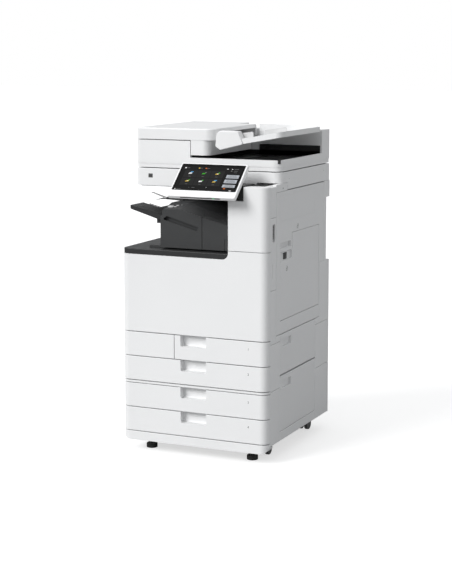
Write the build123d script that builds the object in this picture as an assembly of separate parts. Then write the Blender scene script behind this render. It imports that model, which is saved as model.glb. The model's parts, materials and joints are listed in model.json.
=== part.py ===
"""A floor-standing office photocopier with document feeder, inner finisher and four paper drawers.

Millimetres, +Z up. The origin is the centre of the machine's footprint on the floor. The front
faces -Y and +X is the operator's right. Depths, named d, are measured back from the plane of the
drawer fronts, and heights are measured up from the floor.
"""

from build123d import *

import math
import os

# --- overall sizes -------------------------------------------------------------------------
BODY_WIDTH = 565.0
BODY_DEPTH = 602.0  # drawer fronts to the rear face of the side covers
REAR_BULGE = 58.0  # electrics cover, behind the rear face
PANEL_REACH = 62.0  # screen's lower edge, in front of the drawer fronts

# --- walls and clearances ------------------------------------------------------------------
SKIN = 3.0  # moulded plastic wall
STEEL = 3.0  # frame sheet
SEAM = 3.0  # visible gap between neighbouring covers
PLAY = 0.4  # gap between a piece and its seat
RUN = 0.05  # radial clearance of a shaft in its bore
SWING = 1.5  # gap round a hinged or sliding cover
SOFT = 1.2  # small rounding on moulded edges
CORNER = 28.0  # rounded vertical corners of the front

# --- stack of the front, from the floor up ----------------------------------------------------
SKIRT_BOTTOM = 40.0
SKIRT_HEIGHT = 31.5
SKIRT_DEPTH = 58.0
DRAWER_HEIGHT = 85.5
MID_RAIL_HEIGHT = 7.0
FRONT_COVER_HEIGHT = 308.0
TOWER_HEIGHT = 223.0
READER_RISE = 205.0  # from the top of the front cover to the reader's underside
READER_HEIGHT = 62.0
FEEDER_LIFT = 3.5  # gap between reader and feeder
FEEDER_RIM = 39.0  # feeder base, up to the rim of its output tray
FEEDER_BLOCK = 59.5  # from the rim up to the joint below the top cover
FEEDER_CAP = 41.5  # height of the feeder's top cover
CAP_GAP = 2.5

drawer_pitch = DRAWER_HEIGHT + SEAM
skirt_top = SKIRT_BOTTOM + SKIRT_HEIGHT
drawer_z = {
    4: skirt_top + SEAM,
    3: skirt_top + SEAM + drawer_pitch,
}
mid_rail_z = drawer_z[3] + drawer_pitch
drawer_z[2] = mid_rail_z + MID_RAIL_HEIGHT + SEAM
drawer_z[1] = drawer_z[2] + drawer_pitch
unit_split = mid_rail_z + MID_RAIL_HEIGHT / 2  # joint between the feeding unit and the main body
cover_z = drawer_z[1] + drawer_pitch
cover_top = cover_z + FRONT_COVER_HEIGHT
tower_z = cover_top + SWING
tower_top = tower_z + TOWER_HEIGHT
reader_z = cover_top + READER_RISE
reader_top = reader_z + READER_HEIGHT
feeder_z = reader_top + FEEDER_LIFT
rim_z = feeder_z + FEEDER_RIM
block_z = rim_z + FEEDER_BLOCK
cap_z = block_z + CAP_GAP
feeder_top = cap_z + FEEDER_CAP

HALF = BODY_WIDTH / 2
FRONT = -(PANEL_REACH + BODY_DEPTH + REAR_BULGE) / 2 + PANEL_REACH  # y of the drawer fronts

# --- frame -----------------------------------------------------------------------------------
FRAME_INSET = 14.5  # from a side cover's face to the frame
FRAME_FRONT = 40.0
BASE_UNDERSIDE = 58.0
frame_half = HALF - FRAME_INSET
frame_back = BODY_DEPTH - 12.0
RUNNER_WIDTH = 14.0
DIVIDER_RUNNER = 19.0  # ledge on the divider beside drawer 1
RUNNER_RISE = 46.0  # ledge above a drawer's lower edge
COLUMN_DEPTH = 60.0

# --- front panels ------------------------------------------------------------------------------
PANEL_DEPTH = 30.0  # how far a front panel wraps round the side
HANDLE_WIDTH = 100.0
HANDLE_HEIGHT = 39.0
HANDLE_DEPTH = 25.0
FILLER_WIDTH = 207.0
LIP_HEIGHT = 19.5  # dark front lip of the delivery tray
STEP_ROUND = 22.0  # inner corner of the step in the front cover
LIP_DROP = 30.0  # front cover's left part lies this much lower than its right part
TOWER_WIDTH = 148.5
TOWER_STEP_WIDTH = 58.0
TOWER_STEP_DROP = 49.5
CAVITY_DEPTH = 470.0

# --- drawers -----------------------------------------------------------------------------------
TRAY_DEPTH = 400.0
TRAY_WALL = 2.5
TRAY_HEIGHT = 62.0
TRAY_SIDE_GAP = 20.0  # tray wall to frame
PLATE_THICK = 1.5

# --- side doors, depths from the drawer fronts --------------------------------------------------
STRIP_END = 79.0
DOOR_REAR = 58.0  # strip behind the upper door
LOW_DOOR_FRONT = 119.0
LOW_DOOR_REAR = 140.0  # strip behind the two lower doors
DOOR_THICK = 13.0
BYPASS_FRONT = 116.0
BYPASS_WIDTH = 376.0
BYPASS_HEIGHT = 300.0
BYPASS_DROP = 153.5  # from the upper door's top edge to the bypass tray's top edge
BYPASS_THICK = 9.0
LATCH_WIDTH = 111.0
LATCH_HEIGHT = 60.0
DOOR_BOTTOM = 446.5  # lower end of the upper door
DOOR_STEP_Z = 651.0  # below this the upper door is narrower at its rear
DOOR_STEP = 41.0
STRIP_SPLITS = (421.0, 611.0, 864.0)  # joints in the strip in front of the upper door
LOW_DOOR_BOTTOM = 96.0
GRIP_WIDTH = 81.0
GRIP_HEIGHT = 28.0
GRIP_DEPTH = 9.0
PIN_RADIUS = 3.0
HINGE_INSET = 4.5  # hinge axis, in from a door's face and from its edge
HINGE_PIN = 1.5

# --- reader and feeder ----------------------------------------------------------------------------
READER_FRONT = 119.0
READER_REAR = 6.0  # short of BODY_DEPTH
READER_NOTCH_DEPTH = 181.0
READER_NOTCH_HEIGHT = 25.0
LEFT_ROUND = 15.0
RIGHT_ROUND = 34.0
GLASS_WIDTH = 432.0
GLASS_DEPTH = 297.0
GLASS_THICK = 4.0
GLASS_RIGHT = 30.0  # from the reader's right face to the glass
CARRIAGE_WIDTH = 34.0
CARRIAGE_TRAVEL = 420.0
ROD_RADIUS = 4.0
BLOCK_RIGHT = 216.0  # feeder block's width, left of the output tray
CAP_WIDTH = 309.0
CHIN_WIDTH = 70.0  # lower part of the top cover, over the output slot
CHIN_DROP = 53.0
TOWER_WALL_DEPTH = 78.0  # rear part of the feeder, behind the trays
REAR_WALL_DROP = 18.0  # rear part's top below the feeder's top
INPUT_TILT = 10.2  # document tray's slope, degrees
INPUT_RIM = 19.0
INPUT_LEFT = 318.0  # document tray's left end, from the body's left face
INPUT_RISE = 51.0  # rim's underside above the output rim, at the tray's left end
GUIDE_HEIGHT = 24.0
GUIDE_LENGTH = 86.0
GUIDE_TRAVEL = 60.0
ROLLER_RADIUS = 11.0
HINGE_UP = 14.0
HINGE_IN = 9.0

# --- control panel -----------------------------------------------------------------------------------
PANEL_WIDTH = 255.0
PANEL_LENGTH = 160.0
PANEL_THICK = 17.0
PANEL_TILT = 41.5  # from the horizontal
PANEL_SOFT = 4.0  # rounding of the panel's outer edges
PANEL_RIGHT = 95.0  # from the body's right face
PANEL_RISE = 192.0  # screen's lower edge above the front cover
SCREEN_MARGIN = 6.5
SCREEN_BOTTOM = 28.0
SCREEN_THICK = 2.0
TILT_PIN = 6.0

# --- finisher ------------------------------------------------------------------------------------------
FINISHER_FRONT = 35.0
FINISHER_WIDTH = 274.0
FINISHER_DEPTH = 380.0
FINISHER_HEIGHT = 137.5
FINISHER_FALL = 52.5  # drop of the front's top edge, left to right
HOOD_RISE = 18.0
HOOD_DEPTH = 65.0
STAPLE_DOOR_WIDTH = 112.0
STACK_FRONT = 72.0
STACK_DEPTH = 300.0
STACK_REACH = 137.5
STACK_TILT = 13.7
STACK_LEVEL = 107.0  # stack tray's upper end at the finisher, above the finisher's underside
STACK_THICK = 21.0
STACK_TIP = 13.5

# --- feet and casters -------------------------------------------------------------------------------------
FOOT_X = 199.0
FOOT_D = 68.0
FOOT_RADIUS = 20.0
CASTER_X = 213.0
CASTER_FRONT_D = 136.0
CASTER_REAR_IN = 66.0
WHEEL_RADIUS = 22.0
WHEEL_WIDTH = 14.0
AXLE_RADIUS = 4.0
CASTER_TRAIL = 12.0
STEM_RADIUS = 5.0

# --- print engine --------------------------------------------------------------------------------------------
ENGINE_FRONT = 70.0
ENGINE_DEPTH = 370.0
DRUM_PITCH = 92.0
DRUM_RADIUS = 15.0
FUSER_RADIUS = 19.0
TONER_RADIUS = 21.0


# --- drawing aids ------------------------------------------------------------------------------------------------
def block(x0, x1, d0, d1, z0, z1):
    """A box between two X, two depths and two heights."""
    centre = Pos((x0 + x1) / 2, FRONT + (d0 + d1) / 2, (z0 + z1) / 2)
    return centre * Box(x1 - x0, d1 - d0, z1 - z0)


def front_slab(outline, d0, d1):
    """An outline in X and Z, made solid between two depths."""
    plane = Plane((0, FRONT + d1, 0), x_dir=(1, 0, 0), z_dir=(0, -1, 0))
    return extrude(plane * outline, amount=d1 - d0)


def side_slab(outline, x0, x1):
    """An outline in depth and Z, made solid between two X."""
    plane = Plane((x0, FRONT, 0), x_dir=(0, 1, 0), z_dir=(1, 0, 0))
    return extrude(plane * outline, amount=x1 - x0)


def shape_of(points):
    """A flat face with straight sides."""
    return make_face(Polyline(*points, close=True))


def rod_y(x, z, d0, d1, radius):
    """A round bar along Y."""
    return Pos(x, FRONT + (d0 + d1) / 2, z) * Rot(90, 0, 0) * Cylinder(radius, d1 - d0)


def rod_x(d, z, x0, x1, radius):
    """A round bar along X."""
    return Pos((x0 + x1) / 2, FRONT + d, z) * Rot(0, 90, 0) * Cylinder(radius, x1 - x0)


def rod_z(x, d, z0, z1, radius):
    """An upright round bar."""
    return Pos(x, FRONT + d, (z0 + z1) / 2) * Cylinder(radius, z1 - z0)


def upright_edges(shape, x, d):
    """The vertical edges of a shape that stand at this X and depth."""
    return [
        e
        for e in shape.edges().filter_by(Axis.Z)
        if abs(e.center().X - x) < 0.01 and abs(e.center().Y - FRONT - d) < 0.01
    ]


def round_corners(shape, corners):
    """Rounds vertical corners, given as (x, depth, radius)."""
    for x, d, radius in corners:
        shape = fillet(upright_edges(shape, x, d), radius)
    return shape


def soften(shape, z, d_limit, radius=SOFT):
    """Rounds the edges that lie at one height, in front of one depth."""
    chosen = [
        e
        for e in shape.edges()
        if abs(e.bounding_box().min.Z - z) < 0.01
        and abs(e.bounding_box().max.Z - z) < 0.01
        and e.center().Y < FRONT + d_limit - 0.01
    ]
    return fillet(chosen, radius)


def hollow_panel(x0, x1, z0, z1, left_round, right_round):
    """A front panel: a shallow box, open at the back, with rounded vertical corners."""
    outer = block(x0, x1, 0, PANEL_DEPTH, z0, z1)
    inner = block(x0 + SKIN, x1 - SKIN, SKIN, PANEL_DEPTH + 1, z0 + SKIN, z1 - SKIN)
    corners = [(x0, left_round), (x1, right_round)]
    for x, rounded in corners:
        inset = SKIN if x == x0 else -SKIN
        if rounded:
            outer = round_corners(outer, [(x, 0, CORNER)])
            inner = round_corners(inner, [(x + inset, SKIN, CORNER - SKIN)])
    outer = soften(outer, z1, PANEL_DEPTH)
    outer = soften(outer, z0, PANEL_DEPTH)
    return outer - inner


def tray_cover(x_in, x_out, d0, d1, z0, z1):
    """A side cover: a shallow box that is open towards the frame, between x_in and x_out."""
    way = 1 if x_out > x_in else -1
    outer = block(min(x_in, x_out), max(x_in, x_out), d0, d1, z0, z1)
    face_edges = [e for e in outer.edges() if abs(e.center().X - x_out) < 0.01]
    outer = fillet(face_edges, SOFT)
    a, b = sorted((x_in - way, x_out - way * SKIN))
    return outer - block(a, b, d0 + SKIN, d1 - SKIN, z0 + SKIN, z1 - SKIN)


def grip(x_face, d0, z1, width=GRIP_WIDTH, height=GRIP_HEIGHT, depth=GRIP_DEPTH):
    """The hollow of a finger grip in a right-hand door, and the wall round it."""
    hollow = block(x_face - depth, x_face + 1, d0, d0 + width, z1 - height, z1)
    wall = block(
        x_face - depth - SKIN + 1, x_face - 1,
        d0 - SKIN, d0 + width + SKIN, z1 - height - SKIN, z1 + SKIN,
    )
    return hollow, wall


# --- hinges -----------------------------------------------------------------------------------
# Each hinge is drawn with its pin along Z, the door's face towards +X and the door's edge towards +Y.
def hinge_bracket(reach):
    """The fixed half of a hinge: a neck, a barrel and the pin through it."""
    neck = Pos((-reach) / 2, -1.1, 0) * Box(reach, 3.8, 10)
    return neck + Cylinder(3.2, 10) + Cylinder(HINGE_PIN, 24)


def fit_hinge(door, at, depth):
    """Cuts the room for a bracket into a door of this depth, and adds the bored knuckles."""
    room = Cylinder(3.7, 11.6)
    room += Pos(-depth / 2, 2.0, 0) * Box(depth + 2 * (HINGE_INSET - SKIN), 11.6, 11.6)
    knuckles = Pos(0, 0, 8.9) * Cylinder(4.0, 6.2) + Pos(0, 0, -8.9) * Cylinder(4.0, 6.2)
    return (door - at * room + at * knuckles) - at * Cylinder(HINGE_PIN + RUN, 30)


def side_hinge(rear, z):
    """Where a hinge of a right-hand door sits, near the door's rear edge."""
    return Pos(HALF - HINGE_INSET, FRONT + rear - HINGE_INSET, z)


def cover_hinge(x):
    """Where a hinge of the front cover sits, along its lower edge."""
    origin = (x, FRONT + HINGE_INSET, cover_z + HINGE_INSET)
    return Plane(origin, x_dir=(0, -1, 0), z_dir=(1, 0, 0)).location


def upper_hinges():
    """The two hinges of the upper right door."""
    rear = BODY_DEPTH - DOOR_REAR
    return [side_hinge(rear, DOOR_STEP_Z + 24), side_hinge(rear, reader_z - 40)]


def low_hinges(z0, z1):
    """The two hinges of a small right-hand door between two heights."""
    rear = BODY_DEPTH - LOW_DOOR_REAR
    return [side_hinge(rear, z0 + 24), side_hinge(rear, z1 - 24)]


def cover_hinges():
    """The two hinges of the front cover."""
    return [cover_hinge(-HALF + 70), cover_hinge(HALF - 70)]


# --- frames -------------------------------------------------------------------------------------------------------
def runner_ledges(drawer, x_left, x_right):
    """The two steel ledges that one drawer slides on, reaching in from x_left and x_right."""
    z = drawer_z[drawer] + RUNNER_RISE
    d0, d1 = FRAME_FRONT + 5, frame_back - 5
    return block(x_left, x_left + RUNNER_WIDTH, d0, d1, z - STEEL, z) + block(
        x_right - RUNNER_WIDTH, x_right, d0, d1, z - STEEL, z
    )


def lower_frame():
    """The feeding unit's welded frame: base plate, sides, back, top and drawer ledges."""
    top = unit_split - 2.0
    inner = frame_half - STEEL
    frame = block(-frame_half, frame_half, 12, frame_back, BASE_UNDERSIDE, BASE_UNDERSIDE + STEEL)
    frame += block(-frame_half, frame_half, FRAME_FRONT, frame_back, top - STEEL, top)
    frame += block(-frame_half, frame_half, frame_back - STEEL, frame_back, BASE_UNDERSIDE, top)
    for x in (-frame_half, inner):
        frame += block(x, x + STEEL, FRAME_FRONT, frame_back, BASE_UNDERSIDE, top)
    for drawer in (3, 4):
        frame += runner_ledges(drawer, -inner, inner)
    window = block(
        inner - 1, frame_half + 1, LOW_DOOR_FRONT + 20, BODY_DEPTH - LOW_DOOR_REAR - 20,
        LOW_DOOR_BOTTOM + 15, drawer_z[4] + RUNNER_RISE - STEEL - 2,
    )
    frame -= window
    for at in low_hinges(LOW_DOOR_BOTTOM, unit_split + 20):
        frame += at * hinge_bracket(HALF - HINGE_INSET - frame_half + 1)
    for x in (-CASTER_X, CASTER_X):
        frame -= rod_z(x, CASTER_FRONT_D, 50, 80, STEM_RADIUS + RUN)
    return frame


def main_frame():
    """The main body's welded frame, with its decks, columns, engine shelf and drawer ledges."""
    bottom, top = unit_split + 2.0, reader_z - PLAY
    inner = frame_half - STEEL
    deck, shelf = cover_z + 4.0, cover_top - 96.0
    floor = cover_top - LIP_DROP - 16.0
    wall_x = HALF - TOWER_WIDTH + 5.0
    frame = block(-frame_half, frame_half, FRAME_FRONT, frame_back, bottom, bottom + STEEL)
    frame += block(-frame_half, frame_half, frame_back - STEEL, frame_back, bottom, top)
    frame += block(-frame_half, frame_half, FRAME_FRONT, frame_back, deck, deck + STEEL)
    frame += block(-frame_half, wall_x, FRAME_FRONT, frame_back, shelf, shelf + STEEL)
    frame += block(-frame_half, wall_x, FRAME_FRONT, frame_back, floor, floor + STEEL)
    frame += block(-frame_half, -inner, FRAME_FRONT, frame_back, bottom, floor + STEEL)
    # rear left column, beside the open delivery cavity, and the wall on the cavity's right
    frame += block(-frame_half, -inner, CAVITY_DEPTH + 20, frame_back, floor, top)
    frame += block(wall_x, wall_x + STEEL, FRAME_FRONT, frame_back, floor, top)
    # right side: two columns, with the paper path open between them
    for d0, d1 in ((FRAME_FRONT, STRIP_END + 20), (BODY_DEPTH - DOOR_REAR - 20, frame_back)):
        frame += block(inner, frame_half, d0, d1, bottom, top)
    frame += block(inner, frame_half, FRAME_FRONT, frame_back, bottom, bottom + 30)
    low_axis = BODY_DEPTH - LOW_DOOR_REAR - HINGE_INSET
    frame += block(inner, frame_half, low_axis - 20, low_axis + 20, bottom, deck)
    # the top plate that carries the reader
    frame += block(-frame_half, frame_half, READER_FRONT + 12, frame_back, top - STEEL, top)
    # fuser shelf
    frame += block(
        wall_x, inner, ENGINE_FRONT - 10, ENGINE_FRONT + ENGINE_DEPTH + 30, floor, floor + STEEL
    )
    for x0, x1 in ((inner - 30, inner), ):
        frame += block(x0, x1, FRAME_FRONT, STRIP_END + 20, floor, floor + STEEL)
    divider = FILLER_WIDTH - HALF - 14.0
    frame += block(
        divider - STEEL, divider, FRAME_FRONT, frame_back, drawer_z[1] + 2, deck
    )
    frame += block(
        divider - STEEL, frame_half, FRAME_FRONT + 5, frame_back,
        drawer_z[1] - 1.5 - STEEL / 2, drawer_z[1] - 1.5 + STEEL / 2,
    ) - block(
        divider + 20, inner - 20, FRAME_FRONT, frame_back - 60, drawer_z[1] - 10, drawer_z[1] + 10
    )
    frame += block(
        -frame_half, divider, FRAME_FRONT + 5, frame_back,
        drawer_z[1] - 1.5 - STEEL / 2, drawer_z[1] - 1.5 + STEEL / 2,
    )
    frame += runner_ledges(2, -inner, inner)
    frame += runner_ledges(1, divider, inner)
    ledge_z = drawer_z[1] + RUNNER_RISE
    frame += block(
        divider, divider + DIVIDER_RUNNER, FRAME_FRONT + 5, frame_back - 5, ledge_z - STEEL, ledge_z
    )
    # the wall beside the cavity stops below the tower's step
    frame -= block(
        wall_x - 1, wall_x + STEEL + 1, FRAME_FRONT - 1, READER_FRONT + 12,
        tower_top - TOWER_STEP_DROP - SKIN - PLAY, top + 1,
    )
    side = upper_hinges() + low_hinges(middle_split() + SEAM, DOOR_BOTTOM - SEAM)
    for at in side:
        frame += at * hinge_bracket(HALF - HINGE_INSET - frame_half + 1)
    for at in cover_hinges():
        frame += at * hinge_bracket(FRAME_FRONT - HINGE_INSET + 1)
    return frame


# --- fixed covers ---------------------------------------------------------------------------------------------------
def skirt_form(inset):
    """The bumper's outer form, rounded in plan and at its lower corners, taken in by inset."""
    x, radius = HALF - inset, CORNER - inset
    form = block(-x, x, inset, SKIRT_DEPTH, SKIRT_BOTTOM + inset, skirt_top)
    plan = round_corners(form, [(-x, inset, radius), (x, inset, radius)])
    low = [e for e in form.edges().filter_by(Axis.Y) if e.center().Z < SKIRT_BOTTOM + inset + 0.01]
    return plan & fillet(low, radius - 3)


def base_skirt():
    """The white bumper below the lowest drawer, rounded at its lower corners."""
    inner = skirt_form(SKIN) - block(
        -HALF, HALF, 0, SKIRT_DEPTH + 1, BASE_UNDERSIDE - PLAY, skirt_top + 1
    )
    seat = block(
        -frame_half - PLAY, frame_half + PLAY, 12 - PLAY, SKIRT_DEPTH + 1,
        BASE_UNDERSIDE - PLAY - 0.01, BASE_UNDERSIDE + STEEL + PLAY,
    )
    above = block(
        -HALF + SKIN + 8, HALF - SKIN - 8, SKIN + 9, SKIRT_DEPTH + 1,
        BASE_UNDERSIDE, skirt_top - SKIN,
    )
    skirt = soften(skirt_form(0.0), skirt_top, SKIRT_DEPTH)
    behind = block(
        -HALF - 1, HALF + 1, FRAME_FRONT - PLAY, SKIRT_DEPTH + 1, BASE_UNDERSIDE - PLAY, skirt_top + 1
    )
    side_covers = block(
        -HALF - 1, HALF + 1, PANEL_DEPTH, SKIRT_DEPTH + 1, BASE_UNDERSIDE + STEEL, skirt_top + 1
    )
    skirt = skirt - inner - seat - above - behind - side_covers
    for x in (-FOOT_X, FOOT_X):
        skirt -= rod_z(x, FOOT_D, SKIRT_BOTTOM - 5, BASE_UNDERSIDE, 16)
    return skirt


def cassette_1_filler():
    """The fixed panel beside drawer 1, and the thin rail between the main body and the unit."""
    z = drawer_z[1]
    panel = hollow_panel(-HALF, -HALF + FILLER_WIDTH, z, z + DRAWER_HEIGHT, True, False)
    rail = block(-HALF, HALF, 0, PANEL_DEPTH, mid_rail_z, mid_rail_z + MID_RAIL_HEIGHT)
    rail = round_corners(rail, [(-HALF, 0, CORNER), (HALF, 0, CORNER)])
    rail += block(
        -frame_half, frame_half, PANEL_DEPTH - 1, FRAME_FRONT - PLAY,
        mid_rail_z, mid_rail_z + MID_RAIL_HEIGHT,
    )
    # lugs that carry the panel back to the frame
    lugs = block(
        -HALF + FILLER_WIDTH - 30, -HALF + FILLER_WIDTH - SKIN, PANEL_DEPTH - 10,
        FRAME_FRONT - PLAY, z + 30, z + 50,
    )
    return Compound([panel + lugs, rail])


def left_covers():
    """The left side: one cover on the feeding unit and two on the main body."""
    x_in = -frame_half - PLAY
    back = frame_back
    lower = tray_cover(x_in, -HALF, PANEL_DEPTH + 1, back, BASE_UNDERSIDE + 4, unit_split - 1)
    upper = tray_cover(
        x_in, -HALF, PANEL_DEPTH + 1, back, unit_split + 1, cover_top - LIP_DROP - 1
    )
    column = tray_cover(
        x_in, -HALF, CAVITY_DEPTH + 22, back, cover_top - LIP_DROP + 1, reader_z - 1
    )
    return Compound([lower, upper, column])


def vent_slots(x0, x1, z0, z1, d, count):
    """Thin horizontal slots through a rear wall."""
    pitch = (z1 - z0) / count
    slots = [
        block(x0, x1, d - 6, d + 6, z0 + i * pitch, z0 + i * pitch + pitch * 0.45)
        for i in range(count)
    ]
    return slots


def rear_covers():
    """The back: a flat cover on the feeding unit, and the main body's cover with the bulge."""
    lower = block(-HALF, HALF, frame_back + PLAY, BODY_DEPTH, BASE_UNDERSIDE + 4, unit_split - 1)
    lower -= block(
        -HALF + SKIN, HALF - SKIN, frame_back, BODY_DEPTH - SKIN,
        BASE_UNDERSIDE + 4 + SKIN, unit_split - 1 - SKIN,
    )
    upper = block(-HALF, HALF, frame_back + PLAY, BODY_DEPTH, unit_split + 1, reader_z - 1)
    bulge = (-HALF + 45, HALF - 45, cover_z - 120, reader_z - 60)
    bulge_box = block(bulge[0], bulge[1], BODY_DEPTH - 5, BODY_DEPTH + REAR_BULGE, bulge[2], bulge[3])
    face = [e for e in bulge_box.edges() if e.center().Y > FRONT + BODY_DEPTH + REAR_BULGE - 0.01]
    bulge_box = fillet(face, 8.0)
    upper += bulge_box
    upper -= block(
        -HALF + SKIN, HALF - SKIN, frame_back, BODY_DEPTH - SKIN,
        unit_split + 1 + SKIN, reader_z - 1 - SKIN,
    )
    upper -= block(
        bulge[0] + SKIN, bulge[1] - SKIN, BODY_DEPTH - 10, BODY_DEPTH + REAR_BULGE - SKIN,
        bulge[2] + SKIN, bulge[3] - SKIN,
    )
    for slot in vent_slots(-60, 140, bulge[3] - 200, bulge[3] - 80, BODY_DEPTH + REAR_BULGE, 10):
        upper -= slot
    # the recessed rear right corner
    upper -= block(
        frame_half, HALF + 1, frame_back - 1, BODY_DEPTH + 1, corner_low(), corner_high()
    )
    # the opening for the mains inlet
    x, z = inlet_place()
    upper -= block(x - 16, x + 16, BODY_DEPTH, BODY_DEPTH + REAR_BULGE + 2, z - 13, z + 13)
    return Compound([lower, upper])


def corner_low():
    """Lower end of the recessed rear right corner."""
    return cover_top - 96.0


def corner_high():
    """Upper end of the recessed rear right corner."""
    return reader_z - 63.0


def inlet_place():
    """X and height of the mains inlet, on the back."""
    return -HALF + 100.0, cover_z - 75.0


def right_covers():
    """The fixed covers on the right: strips in front of the doors and strips behind them."""
    x_in = frame_half + PLAY
    split = unit_split
    low, high = STRIP_SPLITS[0], DOOR_BOTTOM - SWING
    front_end, rear_start = LOW_DOOR_FRONT - SWING, BODY_DEPTH - LOW_DOOR_REAR + SWING
    step_start = BODY_DEPTH - DOOR_REAR - DOOR_STEP + SWING
    door_end = BODY_DEPTH - DOOR_REAR + SWING
    half = 0.6  # half a joint between fixed covers

    def cover(d0, d1, z0, z1):
        return tray_cover(x_in, HALF, d0, d1, z0, z1)

    covers = [
        cover(PANEL_DEPTH + 1, front_end, BASE_UNDERSIDE + 4, split - half),
        cover(front_end + PLAY, rear_start - PLAY, BASE_UNDERSIDE + 4, LOW_DOOR_BOTTOM - SWING),
        cover(rear_start, frame_back, BASE_UNDERSIDE + 4, split - half),
        cover(PANEL_DEPTH + 1, front_end, split + half, low - half),
        cover(STRIP_END, front_end, low + half, high),
        cover(rear_start, frame_back, split + half, low - half),
        cover(rear_start, step_start - 2 * half, low + half, high),
        cover(step_start, frame_back, low + half, corner_low()),
        cover(STRIP_END - SWING + PLAY, READER_NOTCH_DEPTH - 1, reader_z - 3.0, reader_z + 24.0),
        cover(door_end, frame_back, corner_high(), reader_z - 1),
        cover(door_end, frame_back - 20, corner_low() + PLAY, corner_high() - PLAY),
    ]
    # the strip in front of the upper door, in four lengths
    ends = list(STRIP_SPLITS) + [tower_top - 1]
    slot = switch_box()
    for z0, z1 in zip(ends, ends[1:]):
        strip = cover(PANEL_DEPTH + 1, STRIP_END - SWING, z0 + half, z1 - half)
        if z0 < slot[2] and slot[3] < z1:
            strip += block(
                x_in, HALF - 1, slot[0] - SKIN, slot[1] + SKIN, slot[2] - SKIN, slot[3] + SKIN
            )
            strip -= block(x_in + SKIN, HALF + 1, *slot)
            strip -= block(HALF - 1.2, HALF + 1, 38, 48, cover_top - 93, cover_top - 44)
        covers.append(strip)
    return Compound(covers)


def switch_box():
    """Depths and heights of the power switch's slot."""
    z = tower_top - 130.0
    return 45.5, 67.0, z - 61.0, z


def tower_cover():
    """The fixed cover right of the delivery cavity, with the step that carries the panel's arm."""
    x0 = HALF - TOWER_WIDTH
    step_x, step_z = x0 + TOWER_STEP_WIDTH, tower_top - TOWER_STEP_DROP
    outer = block(x0, HALF, 0, PANEL_DEPTH, tower_z, tower_top)
    outer = round_corners(outer, [(HALF, 0, CORNER)])
    outer -= block(x0 - 1, step_x, -1, PANEL_DEPTH + 1, step_z, tower_top + 1)
    inner = block(x0 + SKIN, HALF - SKIN, SKIN, PANEL_DEPTH + 1, tower_z + SKIN, tower_top - SKIN)
    inner = round_corners(inner, [(HALF - SKIN, SKIN, CORNER - SKIN)])
    inner -= block(x0, step_x + SKIN, 0, PANEL_DEPTH + 2, step_z - SKIN, tower_top)
    shell = outer - inner
    front_edges = [
        e
        for e in shell.edges()
        if e.center().Y < FRONT + 0.01 and abs(e.center().X - HALF) > CORNER
    ]
    shell = fillet(front_edges, SOFT)
    # top shelf and step shelf, reaching back to the reader and the frame's wall
    shelf = block(step_x, HALF - FRAME_INSET - PLAY, PANEL_DEPTH, READER_FRONT - 1, tower_top - SKIN, tower_top)
    step = block(x0, step_x + SKIN, PANEL_DEPTH, READER_FRONT + 10, step_z - SKIN, step_z)
    riser = block(step_x, step_x + SKIN, PANEL_DEPTH, READER_FRONT - 1, step_z - SKIN, tower_top)
    side = block(x0, x0 + SKIN, PANEL_DEPTH, FRAME_FRONT - PLAY, tower_z, step_z)
    return shell + shelf + step + riser + side


def delivery_tray():
    """The dark floor of the delivery cavity with its front lip, its rear wall and its ceiling."""
    x1 = HALF - TOWER_WIDTH - SWING
    z0 = cover_top - LIP_DROP + SWING
    z1 = z0 + LIP_HEIGHT - SWING
    outer = block(-HALF, x1, 1.5, CAVITY_DEPTH, z0, z1)
    outer = round_corners(outer, [(-HALF, 1.5, CORNER)])
    outer = soften(outer, z1, CAVITY_DEPTH, 2.0)
    inner = block(-HALF + SKIN, x1 - SKIN, 1.5 + SKIN, CAVITY_DEPTH - SKIN, z0 - 1, z1 - SKIN)
    inner = round_corners(inner, [(-HALF + SKIN, 1.5 + SKIN, CORNER - SKIN)])
    # the right end follows the rounded step of the front cover
    centre_x, centre_z = HALF - TOWER_WIDTH - STEP_ROUND, cover_top - LIP_DROP + STEP_ROUND
    corner = block(centre_x, x1 + 2, 0, PANEL_DEPTH + 2, z0 - 2, centre_z)
    corner -= rod_y(centre_x, centre_z, -1, PANEL_DEPTH + 3, STEP_ROUND - SWING)
    floor = outer - inner - corner
    # stops that rest on the frame's floor plate
    frame_floor = cover_top - LIP_DROP - 16.0 + STEEL
    for d in (80.0, CAVITY_DEPTH - 60.0):
        floor += block(-HALF + 30, x1 - 30, d, d + 8, frame_floor + PLAY, z1 - 1)
    x_left = -frame_half + STEEL + PLAY
    back = block(
        x_left, x1, CAVITY_DEPTH + PLAY, CAVITY_DEPTH + PLAY + SKIN, frame_floor + PLAY,
        reader_z - PLAY - STEEL - PLAY,
    )
    return Compound([floor, back])


# --- front cover and switch ---------------------------------------------------------------------------------------------
def front_cover():
    """The hinged cover over the print engine. Its left part lies lower, with a rounded step."""
    step_x = HALF - TOWER_WIDTH

    def body(inset):
        d1 = PANEL_DEPTH + (1 if inset else 0)
        shape = block(
            -HALF + inset, HALF - inset, inset, d1, cover_z + inset, cover_top - inset
        )
        corners = [(x, inset, CORNER - inset) for x in (-HALF + inset, HALF - inset)]
        shape = round_corners(shape, corners)
        low = cover_top - LIP_DROP - inset
        cut = block(-HALF - 1, step_x + inset, -1, d1 + 1, low, cover_top + 1)
        lower_right = [
            e
            for e in cut.edges().filter_by(Axis.Y)
            if e.center().X > step_x - 0.01 and e.center().Z < low + 0.01
        ]
        return shape - fillet(lower_right, STEP_ROUND + inset)

    shell = soften(body(0.0), cover_z, PANEL_DEPTH) - body(SKIN)
    for at in cover_hinges():
        shell = fit_hinge(shell, at, PANEL_DEPTH)
    return shell


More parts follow.
